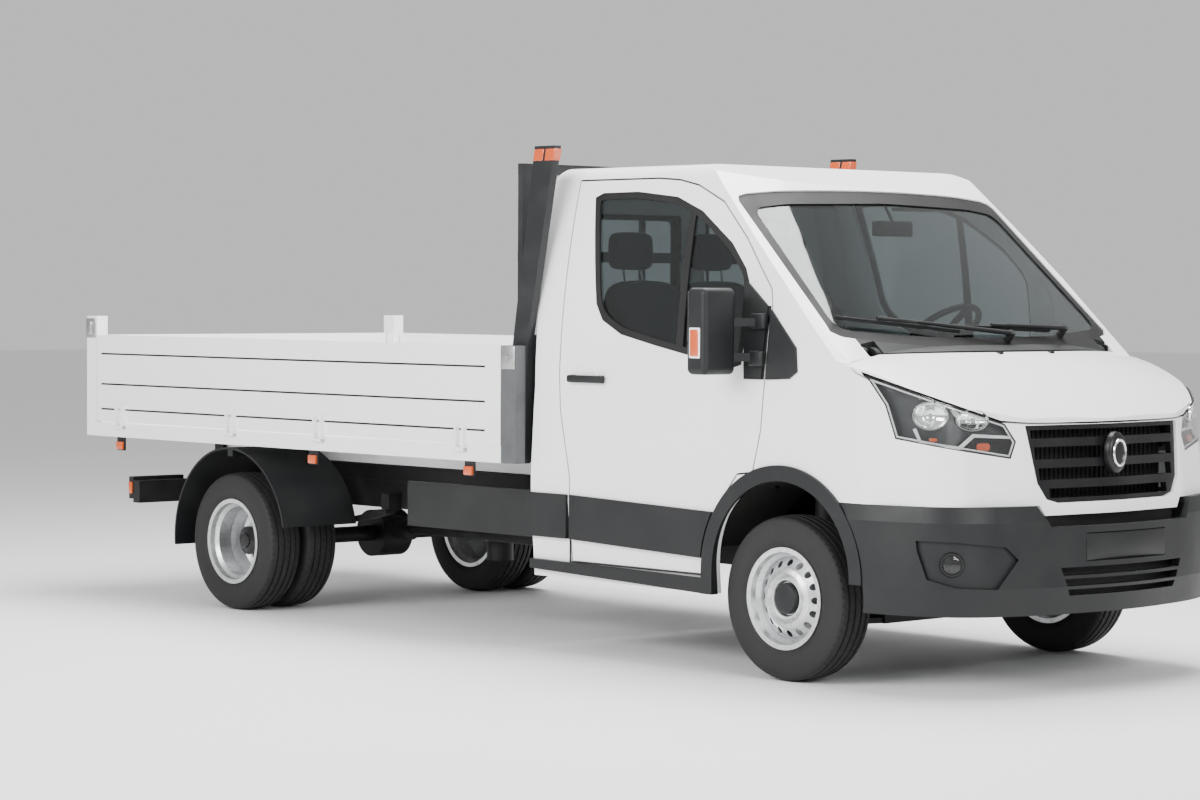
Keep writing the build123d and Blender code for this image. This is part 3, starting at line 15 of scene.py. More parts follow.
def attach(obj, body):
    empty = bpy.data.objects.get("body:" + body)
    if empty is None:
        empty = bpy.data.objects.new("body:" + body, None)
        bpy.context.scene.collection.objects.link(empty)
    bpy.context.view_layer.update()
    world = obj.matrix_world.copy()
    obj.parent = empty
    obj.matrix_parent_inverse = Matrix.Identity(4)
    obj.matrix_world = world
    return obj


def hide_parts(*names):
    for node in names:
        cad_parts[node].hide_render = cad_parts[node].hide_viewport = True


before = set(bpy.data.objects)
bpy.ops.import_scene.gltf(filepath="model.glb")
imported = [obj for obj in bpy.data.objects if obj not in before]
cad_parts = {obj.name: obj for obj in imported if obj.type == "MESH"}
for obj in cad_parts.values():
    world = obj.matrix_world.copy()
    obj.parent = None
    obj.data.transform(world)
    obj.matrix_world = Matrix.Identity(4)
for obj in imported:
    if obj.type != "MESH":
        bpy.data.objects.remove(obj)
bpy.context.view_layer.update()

# %% [markdown]
# A few places are used again and again: the two axles, their height and the two sides. They are
# written here as numbers read off the solids, and one helper counts places forward from the front axle.

# %% Places on the truck
FRONT_AXLE_X = 2.075
REAR_AXLE_X = -1.879
AXLE_Z = 0.356
SIDES = (("left", 1), ("right", -1))


def from_axle(x):
    """A place counted forward from the front axle."""
    return FRONT_AXLE_X + x


# %% [markdown]
# A material is a small sum: a colour, a roughness and a bump that vary over the surface. Written as
# nodes that is long, so one class wraps a socket and lets plain + - * / add the Math nodes. A second
# class holds the material and has one method that adds any other node.


# %% Sockets that can be added and multiplied
class Value:
    """A node's output that can stand in an expression."""

    def __init__(self, finish, socket):
        self.finish = finish
        self.socket = socket

    def sum(self, operation, first, second=0.0):
        return self.finish.add("ShaderNodeMath", {"operation": operation}, {0: first, 1: second}, 0)

    def __add__(self, other):
        return self.sum("ADD", self, other)

    def __radd__(self, other):
        return self.sum("ADD", other, self)

    def __sub__(self, other):
        return self.sum("SUBTRACT", self, other)

    def __rsub__(self, other):
        return self.sum("SUBTRACT", other, self)

    def __mul__(self, other):
        return self.sum("MULTIPLY", self, other)

    def __rmul__(self, other):
        return self.sum("MULTIPLY", other, self)

    def __truediv__(self, other):
        return self.sum("DIVIDE", self, other)

    def __pow__(self, other):
        return self.sum("POWER", self, other)


class Finish:
    """One material, built from nodes on Object coordinates."""

    def __init__(self, name, **constants):
        self.material = bpy.data.materials.new(name)
        self.material.use_nodes = True
        self.tree = self.material.node_tree
        self.shader = self.tree.nodes["Principled BSDF"]
        for socket, value in constants.items():
            self.shader.inputs[socket.replace("_", " ")].default_value = value

    def add(self, kind, settings, values, output):
        node = self.tree.nodes.new(kind)
        for name, value in settings.items():
            setattr(node, name, value)
        for name, value in values.items():
            if isinstance(value, Value):
                self.tree.links.new(value.socket, node.inputs[name])
            else:
                node.inputs[name].default_value = value
        return Value(self, node.outputs[output])

    def place(self, centre=(0, 0, 0), turn=(0, 0, 0), scale=(1, 1, 1)):
        """Object coordinates, moved so that centre is their origin."""
        here = self.add("ShaderNodeTexCoord", {}, {}, "Object")
        values = {"Vector": here, "Location": centre, "Rotation": turn, "Scale": scale}
        return self.add("ShaderNodeMapping", {"vector_type": "TEXTURE"}, values, 0)

    def along(self, place, letter):
        return self.add("ShaderNodeSeparateXYZ", {}, {"Vector": place}, letter)

    def noise(self, place, scale, detail=3.0):
        values = {"Vector": place, "Scale": scale, "Detail": detail}
        return self.add("ShaderNodeTexNoise", {}, values, 0)

    def step(self, value, low, high, low_gives=0.0, high_gives=1.0):
        """A value carried from one range to another and held at its ends."""
        values = {"Value": value, "From Min": low, "From Max": high}
        values.update({"To Min": low_gives, "To Max": high_gives})
        return self.add("ShaderNodeMapRange", {"interpolation_type": "SMOOTHSTEP"}, values, 0)

    def mix(self, mask, first, second):
        return self.add("ShaderNodeMix", {"data_type": "RGBA"}, {0: mask, 6: first, 7: second}, 2)

    def bump(self, height, distance, strength=1.0):
        values = {"Height": height, "Distance": distance, "Strength": strength}
        return self.add("ShaderNodeBump", {}, values, 0)

    def feed(self, **sockets):
        for name, value in sockets.items():
            self.tree.links.new(value.socket, self.shader.inputs[name.replace("_", " ")])
        return self.material


print("shader helpers ready")

# %% [markdown]
# White paint on a working truck is clean on top and carries a thin veil of road dust low down. The
# veil follows height and a broad noise. A very fine bump gives the orange peel that breaks up
# reflections, and a clear coat gives the gloss.


# %% White paint
def white_paint(name, dust, dust_top):
    finish = Finish(name, Coat_Weight=0.55, Coat_Roughness=0.06, IOR=1.45)
    place = finish.place()
    broad = finish.noise(place, 2.3, 5.0)
    speck = finish.noise(place, 90.0, 4.0)
    peel = finish.noise(place, 420.0, 2.0)
    low = finish.step(finish.along(place, "Z"), 0.35, dust_top, 1.0, 0.0)
    veil = low * broad * dust + speck * broad * 0.03
    colour = finish.mix(veil, (0.90, 0.905, 0.91, 1), (0.52, 0.49, 0.44, 1))
    return finish.feed(Base_Color=colour, Roughness=veil * 0.7 + 0.24, Normal=finish.bump(peel, 0.00012, 0.6))


cab_white = white_paint("cab_white_paint", 0.30, 1.0)
body_white = white_paint("tipper_white_paint", 0.24, 1.6)
print("paints", cab_white.name, body_white.name)

# %% [markdown]
# Bumper, arch rings, mouldings and mirrors are grained plastic. The grain is a fine noise in the
# bump, and worn faces are a little greyer and rougher than the rest.


# %% Grained plastic and chassis black
def plastic(name, colour, worn, roughness, grain=0.00016, scale=650.0):
    finish = Finish(name, Specular_IOR_Level=0.32)
    place = finish.place()
    broad = finish.noise(place, 5.0, 5.0)
    grains = finish.noise(place, scale, 2.0)
    mottled = finish.step(broad, 0.35, 0.75)
    return finish.feed(
        Base_Color=finish.mix(mottled, colour, worn),
        Roughness=mottled * 0.12 + roughness,
        Normal=finish.bump(grains, grain, 0.8),
    )


black_plastic = plastic("grained_black_plastic", (0.0065, 0.0072, 0.008, 1), (0.012, 0.0125, 0.013, 1), 0.44)
smooth_black = plastic(
    "smooth_black_plastic", (0.006, 0.006, 0.007, 1), (0.012, 0.012, 0.013, 1), 0.26, 0.00005
)
sill_black = plastic("matt_sill_black", (0.008, 0.008, 0.009, 1), (0.016, 0.016, 0.016, 1), 0.62)
chassis_black = plastic(
    "chassis_black_paint", (0.005, 0.005, 0.006, 1), (0.016, 0.015, 0.014, 1), 0.52, 0.0003, 180.0
)
panel_grey = plastic(
    "side_panel_grey", (0.009, 0.0095, 0.010, 1), (0.015, 0.0155, 0.016, 1), 0.40, 0.0002, 240.0
)
cast_iron = plastic("cast_metal", (0.10, 0.10, 0.10, 1), (0.17, 0.165, 0.16, 1), 0.6, 0.0008, 120.0)
seal_rubber = plastic("window_seal_rubber", (0.005, 0.005, 0.005, 1), (0.009, 0.009, 0.009, 1), 0.55, 0.00006)
visor_grey = plastic("visor_grey_trim", (0.07, 0.073, 0.077, 1), (0.09, 0.09, 0.095, 1), 0.7, 0.0004, 300.0)
print("plastics", black_plastic.name, chassis_black.name)


# %% [markdown]
# The guard behind the cab is one solid in two paints, so a mask reads the distance from the middle and
# the height, and gives the outer corner posts their grey.


# %% Headboard in two paints
def two_paints(name):
    """Black posts and guard, with grey corner posts below the top of the boards."""
    finish = Finish(name)
    place = finish.place()
    outward = finish.along(place, "Y")
    far = finish.step(outward * outward, 1.010, 1.016)
    low = finish.step(finish.along(place, "Z"), 1.409, 1.411, 1.0, 0.0)
    wear = finish.step(finish.noise(place, 7.0, 5.0), 0.4, 0.8)
    black = finish.mix(wear, (0.005, 0.006, 0.007, 1), (0.010, 0.011, 0.012, 1))
    grey = finish.mix(wear, (0.080, 0.084, 0.088, 1), (0.055, 0.058, 0.062, 1))
    return finish.feed(
        Base_Color=finish.mix(far * low, black, grey),
        Roughness=wear * 0.15 + 0.40,
        Normal=finish.bump(finish.noise(place, 260.0, 2.0), 0.0002, 0.6),
    )


guard_paint = two_paints("guard_paint")
print("guard paint", guard_paint.name)

# %% [markdown]
# The cab glass is tinted. A real pane lets light in and out, so it is a transmitting shader with a
# grey tint, almost no roughness, and a trace of dust that only shows where light rakes over it.


# %% Glass and lamp lenses
def glass(name, tint, dust, roughness=0.02):
    finish = Finish(name, Transmission_Weight=1.0, IOR=1.45)
    place = finish.place()
    film = finish.step(finish.noise(place, 6.0, 5.0), 0.45, 0.8)
    colour = finish.mix(film * dust, tint, (0.6, 0.6, 0.58, 1))
    return finish.feed(Base_Color=colour, Roughness=film * dust * 0.3 + roughness)


cab_glass = glass("tinted_cab_glass", (0.36, 0.41, 0.42, 1), 0.05)
lens_clear = glass("clear_lamp_lens", (0.96, 0.97, 0.97, 1), 0.04)
lens_red = glass("red_lens", (0.75, 0.02, 0.015, 1), 0.05, 0.12)
print("glasses", cab_glass.name, lens_clear.name)


# %% [markdown]
# Amber lenses are deep and nearly opaque, so they take a coated colour and not a transmitting shader.


# %% Moulded amber lenses
def moulded_lens(name, colour, worn):
    """A deep coloured lens: the ribs behind it show as fine lines in the bump."""
    finish = Finish(name, Coat_Weight=0.8, Coat_Roughness=0.05)
    place = finish.place()
    broad = finish.noise(place, 40.0, 3.0)
    ribs = finish.add("ShaderNodeTexWave", {"bands_direction": "Z"}, {"Vector": place, "Scale": 60.0}, 1)
    return finish.feed(
        Base_Color=finish.mix(broad, colour, worn),
        Roughness=broad * 0.1 + 0.25,
        Normal=finish.bump(ribs, 0.0004, 0.6),
    )


lens_amber = moulded_lens("amber_lens", (0.62, 0.085, 0.002, 1), (0.48, 0.055, 0.001, 1))
print("amber", lens_amber.name)

# %% [markdown]
# Wheel paint, lamp chrome, the ram's rods and zinc fittings differ only in colour and roughness. A
# cloudy noise dulls each a little, because handled metal is never evenly bright.


# %% Metals
def metal(name, colour, dull, roughness, scale=60.0, bump=0.00005):
    finish = Finish(name, Metallic=1.0)
    place = finish.place()
    cloud = finish.noise(place, scale, 4.0)
    mark = finish.step(cloud, 0.4, 0.8)
    return finish.feed(
        Base_Color=finish.mix(mark, colour, dull),
        Roughness=mark * 0.14 + roughness,
        Normal=finish.bump(finish.noise(place, scale * 9, 2.0), bump, 0.5),
    )


wheel_silver = metal("wheel_silver_paint", (0.66, 0.67, 0.68, 1), (0.48, 0.48, 0.48, 1), 0.34)
chrome = metal("lamp_chrome", (0.92, 0.92, 0.92, 1), (0.85, 0.85, 0.85, 1), 0.05)
ram_chrome = metal("ram_chrome", (0.75, 0.75, 0.76, 1), (0.62, 0.62, 0.62, 1), 0.12)
zinc = metal("zinc_plate", (0.50, 0.50, 0.50, 1), (0.34, 0.34, 0.33, 1), 0.38, 40.0)
mirror_face = metal("mirror_glass", (0.90, 0.91, 0.92, 1), (0.88, 0.89, 0.90, 1), 0.01)
print("metals", wheel_silver.name, chrome.name)

# %% [markdown]
# A tyre's tread is two patterns at once: grooves round the tyre, which are cut in the mesh, and short
# sipes across it, which are a bump. The sipes need the angle round the axle, so the place is measured
# from the wheel's own centre and turned into an angle.


# %% Tyre rubber
def tyre_rubber(name, axle_x):
    finish = Finish(name, Specular_IOR_Level=0.35)
    place = finish.place((axle_x, 0, AXLE_Z))
    x, y, z = (finish.along(place, letter) for letter in "XYZ")
    radius = (x * x + z * z) ** 0.5
    angle = finish.add("ShaderNodeMath", {"operation": "ARCTAN2"}, {0: z, 1: x}, 0)
    slant = finish.add("ShaderNodeMath", {"operation": "SINE"}, {0: angle * 62.0 + y * 110.0}, 0)
    crown = finish.step(radius, 0.3435, 0.3465)
    sipe = finish.step(slant, 0.72, 0.9) * crown
    rib = finish.add("ShaderNodeMath", {"operation": "SINE"}, {0: angle * 240.0}, 0)
    band = finish.step(radius, 0.318, 0.322) * finish.step(radius, 0.338, 0.334)
    low_band = finish.step(radius, 0.236, 0.238) * finish.step(radius, 0.246, 0.244)
    height = rib * band * 0.25 - sipe * 4.0 + low_band * 1.0
    dust = finish.noise(place, 9.0, 5.0)
    colour = finish.mix(dust, (0.007, 0.007, 0.008, 1), (0.018, 0.0175, 0.017, 1))
    return finish.feed(Base_Color=colour, Roughness=dust * 0.2 + 0.6, Normal=finish.bump(height, 0.0015))


front_rubber = tyre_rubber("front_tyre_rubber", FRONT_AXLE_X)
rear_rubber = tyre_rubber("rear_tyre_rubber", REAR_AXLE_X)
print("rubber", front_rubber.name, rear_rubber.name)

# %% [markdown]
# The seats are a woven cloth, and the trim inside the cab is dark grained plastic.


# %% Seat cloth
def woven(name, thread, gap):
    finish = Finish(name, Sheen_Weight=0.25)
    place = finish.place()
    values = {"Vector": place, "Scale": 420.0, "Distortion": 0.4}
    warp = finish.add("ShaderNodeTexWave", {"bands_direction": "Y"}, values, 1)
    weft = finish.add("ShaderNodeTexWave", {"bands_direction": "Z"}, values, 1)
    weave = warp * 0.5 + weft * 0.5
    colour = finish.mix(weave, gap, thread)
    return finish.feed(Base_Color=colour, Roughness=weave * 0.1 + 0.8, Normal=finish.bump(weave, 0.0006))


seat_cloth = woven("woven_seat_cloth", (0.050, 0.056, 0.062, 1), (0.022, 0.024, 0.027, 1))
print("cloth", seat_cloth.name)

# %% [markdown]
# Every solid that stays on show takes a finish here. Its own mesh is left as it is, and only the
# material in its slot changes.

# %% Finishes of the carried-over solids
finish_of = {
    cab_white: "bonnet front_panel wing_left wing_right cab_side_left cab_side_right door_left door_right "
    "cab_roof cab_rear",
    body_white: "bed_floor corner_posts side_board_left side_board_right tailgate",
    cab_glass: "door_glass_left door_glass_right windscreen",
    black_plastic: "cowl bumper_front door_trim_left door_trim_right trim_left trim_right mirror_left "
    "mirror_right mudguards dashboard steering_wheel fuel_tank",
    smooth_black: "grille",
    chassis_black: "chassis_frame subframe rear_axle leaf_springs front_axle knuckle_left knuckle_right "
    "propshaft cab_floor ram_barrel",
    panel_grey: "side_panel",
    guard_paint: "headboard",
    cast_iron: "engine gearbox",
    wheel_silver: "front_rim_left front_rim_right rear_rim_left rear_rim_right",
    ram_chrome: "ram_stage_1 ram_stage_2 ram_rod",
    seat_cloth: "seat_driver seat_bench",
    lens_clear: "headlamp_left headlamp_right",
    front_rubber: "front_tyre_left front_tyre_right",
    rear_rubber: "rear_tyres_left rear_tyres_right",
}
for material, names in finish_of.items():
    for name in names.split():
        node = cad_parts[name]
        node.data.materials.clear()
        node.data.materials.append(material)
print("finished nodes", sum(len(names.split()) for names in finish_of.values()))

# %% [markdown]
# The camera stands where the photographer stood, worked out from the wheels' ellipses and the truck's
# size: out to the front right, with a long lens.

# %% Camera
view_right = Vector((0.67179, 0.74072, 0.00552))
view_up = Vector((-0.02961, 0.01941, 0.99937))
view_forward = Vector((-0.74015, 0.67153, -0.03497))
camera_data = bpy.data.cameras.new("studio_camera")
camera_data.lens = 94.72
camera_data.sensor_width = 36.0
camera_data.clip_end = 200.0
camera = bpy.data.objects.new("studio_camera", camera_data)
axes = Matrix((view_right, view_up, -view_forward)).transposed()
camera.matrix_world = Matrix.Translation((FRONT_AXLE_X + 9.42977, -10.57785, 1.67163)) @ axes.to_4x4()
bpy.context.scene.collection.objects.link(camera)
bpy.context.scene.camera = camera
print("camera at", [round(v, 2) for v in camera.location])

# %% [markdown]
# The photograph was taken against a pale ground, so the truck stands on a light floor under a bright
# even sky. One large soft light hangs above, one stands at the side and a weaker one in front.

# %% Studio floor and light
floor_mesh = bpy.data.meshes.new("studio_floor")
floor_bm = bmesh.new()
bmesh.ops.create_grid(floor_bm, x_segments=1, y_segments=1, size=60.0)
floor_bm.to_mesh(floor_mesh)
floor_bm.free()
studio_floor = bpy.data.objects.new("studio_floor", floor_mesh)
bpy.context.scene.collection.objects.link(studio_floor)
floor_finish = Finish("studio_floor_paint", Roughness=0.6)
floor_tone = floor_finish.noise(floor_finish.place(), 0.6)
floor_mesh.materials.append(
    floor_finish.feed(Base_Color=floor_finish.mix(floor_tone, (0.80, 0.80, 0.80, 1), (0.84, 0.84, 0.84, 1)))
)

world = bpy.data.worlds.new("studio_world")
world.use_nodes = True
world.node_tree.nodes["Background"].inputs["Color"].default_value = (1.0, 1.0, 1.0, 1)
world.node_tree.nodes["Background"].inputs["Strength"].default_value = 0.7
bpy.context.scene.world = world


def soft_light(name, place, aim, size, power):
    data = bpy.data.lights.new(name, "AREA")
    data.shape = "RECTANGLE"
    data.size, data.size_y = size
    data.energy = power
    light = bpy.data.objects.new(name, data)
    light.location = place
    light.rotation_euler = (Vector(aim) - Vector(place)).to_track_quat("-Z", "Y").to_euler()
    bpy.context.scene.collection.objects.link(light)
    return light


soft_light("overhead_light", (0.5, 1.0, 7.0), (0.2, 0, 0.8), (7.0, 4.5), 1500)
soft_light("side_light", (1.0, -9.0, 4.5), (0.0, 0, 0.9), (7.0, 3.0), 1000)
soft_light("front_light", (9.5, -3.0, 4.0), (1.5, 0, 0.9), (4.0, 3.0), 420)
print("floor and lights set")

# %% [markdown]
# Most fittings start from the same few moves: a bevelled block, a round rod between two points, a
# profile turned about an axis, and a flat outline given thickness. Each helper adds to a bmesh with
# bmesh.ops, and the last one turns the bmesh into an object that rides on a body.


# %% Modelling helpers
def add_block(bm, low, high, bevel=0.0, segments=2):
    made = bmesh.ops.create_cube(bm, size=1.0)["verts"]
    low, high = Vector(low), Vector(high)
    bmesh.ops.scale(bm, vec=high - low, verts=made)
    bmesh.ops.translate(bm, vec=(low + high) / 2, verts=made)
    if bevel:
        edges = list({edge for vert in made for edge in vert.link_edges})
        bmesh.ops.bevel(
            bm, geom=edges, offset=bevel, affect="EDGES", segments=segments, profile=0.5, material=-1,
            clamp_overlap=True,
        )


def around(middle, half):
    return middle - half, middle + half


def side_block(bm, side, along_x, out_y, up_z, bevel=0.0, segments=2):
    """A block on one side of the truck, with y counted outward from the middle."""
    low_y, high_y = sorted(side * y for y in out_y)
    add_block(bm, (along_x[0], low_y, up_z[0]), (along_x[1], high_y, up_z[1]), bevel, segments)


def add_rod(bm, start, end, radius, end_radius=None, steps=24):
    start, end = Vector(start), Vector(end)
    turn = (end - start).to_track_quat("Z", "Y").to_matrix().to_4x4()
    bmesh.ops.create_cone(
        bm, cap_ends=True, segments=steps, radius1=radius,
        radius2=radius if end_radius is None else end_radius,
        depth=(end - start).length, matrix=Matrix.Translation((start + end) / 2) @ turn,
    )


def add_turned(bm, profile, centre, axis, steps=64, closed=True):
    """A profile of depth along the axis and radius, turned all the way round."""
    axis = Vector(axis).normalized()
    out = axis.orthogonal().normalized()
    verts = [bm.verts.new(Vector(centre) + axis * depth + out * radius) for depth, radius in profile]
    edges = [bm.edges.new(pair) for pair in zip(verts, verts[1:])]
    if closed:
        edges.append(bm.edges.new((verts[-1], verts[0])))
    bmesh.ops.spin(
        bm, geom=verts + edges, cent=centre, axis=axis, dvec=(0, 0, 0), angle=2 * pi, steps=steps,
        use_merge=True,
    )


def add_plate(bm, points, push):
    verts = [bm.verts.new(point) for point in points]
    face = bm.faces.new(verts)
    made = bmesh.ops.extrude_face_region(bm, geom=[face])
    moved = [item for item in made["geom"] if isinstance(item, bmesh.types.BMVert)]
    bmesh.ops.translate(bm, vec=push, verts=moved)


def shrunk(points, amount):
    """A closed outline moved in by amount, whichever way round it runs."""
    size = len(points)
    turns = sum(points[i - 1][0] * points[i][1] - points[i][0] * points[i - 1][1] for i in range(size))
    way = 1 if turns > 0 else -1
    moved = []
    for i in range(size):
        here = Vector(points[i])
        before = (here - Vector(points[i - 1])).normalized()
        after = (Vector(points[(i + 1) % size]) - here).normalized()
        inward = Vector((-before.y - after.y, before.x + after.x)) * way
        moved.append(tuple(here + inward * amount / (1 + before.dot(after))))
    return moved


def rounded(points, radius, steps=5):
    """A closed outline with each corner turned into a curve."""
    size = len(points)
    result = []
    for i in range(size):
        here, before, after = Vector(points[i]), Vector(points[i - 1]), Vector(points[(i + 1) % size])
        start = here + (before - here).normalized() * min(radius, (before - here).length * 0.45)
        end = here + (after - here).normalized() * min(radius, (after - here).length * 0.45)
        for k in range(steps + 1):
            t = k / steps
            result.append(tuple(start * (1 - t) ** 2 + here * 2 * t * (1 - t) + end * t**2))
    return result


def dense(points, reach):
    """A closed outline with points added so that none lie further apart than reach."""
    result = []
    for i, point in enumerate(points):
        here, after = Vector(point), Vector(points[(i + 1) % len(points)])
        cuts = int((after - here).length / reach) + 1
        result += [tuple(here + (after - here) * k / cuts) for k in range(cuts)]
    return result


def add_sheet(bm, loops, spot, thickness):
    """A sheet between flat outlines, bent onto a surface by spot and given thickness."""
    edges = []
    for loop in loops:
        verts = [bm.verts.new((u, v, 0)) for u, v in dense(loop, 0.08)]
        edges += [bm.edges.new((verts[i - 1], verts[i])) for i in range(len(verts))]
    made = bmesh.ops.triangle_fill(bm, use_beauty=True, use_dissolve=False, edges=edges, normal=(0, 0, 1))
    faces = [item for item in made["geom"] if isinstance(item, bmesh.types.BMFace)]
    under = {vert for face in faces for vert in face.verts}
    grown = bmesh.ops.extrude_face_region(bm, geom=faces)
    over = {item for item in grown["geom"] if isinstance(item, bmesh.types.BMVert)}
    for vert in under | over:
        vert.co = spot(vert.co.x, vert.co.y, thickness if vert in over else 0.0)


def make_piece(name, bm, material, body, stands_for=(), bevel=0.0, sharp=35.0):
    bmesh.ops.remove_doubles(bm, verts=bm.verts, dist=0.00004)
    bmesh.ops.recalc_face_normals(bm, faces=bm.faces)
    mesh = bpy.data.meshes.new(name)
    bm.to_mesh(mesh)
    bm.free()
    mesh.materials.append(material)
    mesh.shade_smooth()
    mesh.set_sharp_from_angle(angle=radians(sharp))
    piece = bpy.data.objects.new(name, mesh)
    bpy.context.scene.collection.objects.link(piece)
    if bevel:
        soft = piece.modifiers.new("soft_edges", "BEVEL")
        soft.width = bevel
        soft.segments = 2
        soft.limit_method = "ANGLE"
    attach(piece, body)
    if stands_for:
        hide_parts(*stands_for)
    return piece


print("modelling helpers ready")

# %% [markdown]
# A van tyre has a flat crown with four grooves, a rounded shoulder and a nearly upright wall. One half
# section is written down and mirrored, then turned about the axle.

# %% Tyres
tyre_section = [
    (82, 207), (84, 221), (90, 229), (96, 246), (99, 264), (100, 285), (99, 305), (96, 321), (92, 334),
    (87, 343), (80, 348), (71, 351), (59, 353), (57.5, 344), (49.5, 344), (48, 354), (24, 355.5),
    (22.5, 346), (14.5, 346), (13, 356),
]
tyre_profile = [(w / 1000, r / 1000) for w, r in tyre_section]
tyre_profile += [(-w, r) for w, r in reversed(tyre_profile)]
front_tyre_y = 0.868
twin_tyres_y = (0.914, 0.682)


def tyre_piece(name, axle_x, places, material, body, node):
    bm = bmesh.new()
    for y in places:
        add_turned(bm, tyre_profile, (axle_x, y, AXLE_Z), (0, 1, 0), steps=112)
    return make_piece(name, bm, material, body, (node,), sharp=32)


for side_name, side in SIDES:
    letter = side_name[0]
    tyre_piece(
        f"road_tyre_front_{side_name}", FRONT_AXLE_X, (side * front_tyre_y,), front_rubber,
        f"front_wheel_{letter}", f"front_tyre_{side_name}",
    )
    tyre_piece(
        f"road_tyres_rear_{side_name}", REAR_AXLE_X, [side * y for y in twin_tyres_y], rear_rubber,
        f"rear_wheel_{letter}", f"rear_tyres_{side_name}",
    )
print("tyres", len(tyre_profile), "points a section")

# %% [markdown]
# The front wheel has a raised pressed ring round a black domed cap. The rear hub stands far inside
# the outer rim and carries six nuts. Both are turned profiles, because the real ones are.


# %% Hub caps and wheel nuts
def hub_cap(side_name, side):
    bm = bmesh.new()
    dome = [(-0.034, 0.0), (-0.034, 0.068), (-0.020, 0.067), (-0.011, 0.060), (-0.007, 0.044), (-0.006, 0.0)]
    add_turned(bm, dome, (FRONT_AXLE_X, side * 0.960, AXLE_Z), (0, side, 0), closed=False)
    make_piece(f"hub_cap_{side_name}", bm, black_plastic, f"front_wheel_{side_name[0]}")
    bm = bmesh.new()
    ring = [
        (-0.035, 0.094), (-0.024, 0.091), (-0.019, 0.085), (-0.019, 0.079), (-0.025, 0.073), (-0.035, 0.071),
    ]
    add_turned(bm, ring, (FRONT_AXLE_X, side * 0.960, AXLE_Z), (0, side, 0))
    make_piece(f"hub_ring_{side_name}", bm, wheel_silver, f"front_wheel_{side_name[0]}")


def rear_hub(side_name, side):
    bm = bmesh.new()
    face_y = side * 0.809
    nut_count, nut_circle = 6, 0.101
    for index in range(nut_count):
        turn = 2 * pi * index / nut_count
        x, z = REAR_AXLE_X + nut_circle * cos(turn), AXLE_Z + nut_circle * sin(turn)
        add_rod(bm, (x, face_y - side * 0.004, z), (x, face_y + side * 0.020, z), 0.016, steps=6)
        add_rod(bm, (x, face_y + side * 0.019, z), (x, face_y + side * 0.034, z), 0.009, steps=16)
    make_piece(f"rear_nuts_{side_name}", bm, zinc, f"rear_wheel_{side_name[0]}")
    bm = bmesh.new()
    cap = [
        (-0.11, 0.0), (-0.11, 0.076), (-0.004, 0.074), (0.004, 0.060), (0.008, 0.038),
        (0.016, 0.034), (0.018, 0.0),
    ]
    add_turned(bm, cap, (REAR_AXLE_X, side * 0.910, AXLE_Z), (0, side, 0), closed=False)
    make_piece(f"rear_hub_{side_name}", bm, smooth_black, f"rear_wheel_{side_name[0]}")


for side_name, side in SIDES:
    hub_cap(side_name, side)
    rear_hub(side_name, side)
print("hubs done")

# %% [markdown]
# A headlamp is a clear shell over a dark bezel with bright bowls in it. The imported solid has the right
# outside, so its outer faces are copied to make the shell, copied again further in for the bezel, and
# its sides make the housing. The bowls are turned profiles that look forward.


# %% Headlamps
def faces_copy(node_name, keep):
    """A merged copy of a solid's faces that pass a test, as a bmesh."""
    bm = bmesh.new()
    bm.from_mesh(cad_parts[node_name].data)
    bmesh.ops.remove_doubles(bm, verts=bm.verts, dist=0.0001)
    bm.normal_update()
    unwanted = [face for face in bm.faces if not keep(face)]
    bmesh.ops.delete(bm, geom=unwanted, context="FACES")
    return bm


def corner_axes(side):
    """Straight out of a front corner, and level across it."""
    return Vector((1, side, 0)).normalized(), Vector((1, -side, 0)).normalized()


lamp_wall = 0.003
bezel_depth = 0.055
outer_face_turn = 0.15


def headlamp(side_name, side):
    out, _ = corner_axes(side)
    lens = faces_copy(f"headlamp_{side_name}", lambda face: face.normal.dot(out) > outer_face_turn)
    bmesh.ops.solidify(lens, geom=lens.faces[:], thickness=lamp_wall)
    make_piece(f"headlamp_lens_{side_name}", lens, lens_clear, "chassis", sharp=50)

    bezel = faces_copy(f"headlamp_{side_name}", lambda face: face.normal.dot(out) > outer_face_turn)
    bmesh.ops.translate(bezel, vec=-out * bezel_depth, verts=bezel.verts)
    bmesh.ops.solidify(bezel, geom=bezel.faces[:], thickness=lamp_wall)
    make_piece(f"headlamp_bezel_{side_name}", bezel, lamp_grey, "chassis", sharp=50)

    shell = faces_copy(f"headlamp_{side_name}", lambda face: face.normal.dot(out) <= outer_face_turn)
    bmesh.ops.solidify(shell, geom=shell.faces[:], thickness=lamp_wall)
    make_piece(
        f"headlamp_shell_{side_name}", shell, smooth_black, "chassis",
        (f"headlamp_{side_name}",),
    )


def bowl(bm, mouth, radius, depth, aim):
    profile = [(-depth * (1 - share**2), radius * share) for share in (0.0, 0.3, 0.55, 0.8, 1.0)]
    rim = [(0.004, radius), (0.004, radius + 0.004), (-0.004, radius + 0.005)]
    add_turned(bm, profile + rim, mouth, aim, steps=48, closed=False)


def lamp_spot(side_name, side):
    """A function that finds a place on the lens, from a distance across the corner and a height."""
    out, along = corner_axes(side)
    shape = bmesh.new()
    shape.from_mesh(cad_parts[f"headlamp_{side_name}"].data)
    tree = BVHTree.FromBMesh(shape)

    def spot(across, z, lift):
        start = Vector((FRONT_AXLE_X, 0, z)) + out * 1.8 + along * across
        hit = tree.ray_cast(start, -out)[0]
        if hit is None:
            hit = tree.find_nearest(start - out * 0.65)[0]
        return hit + out * lift

    return spot


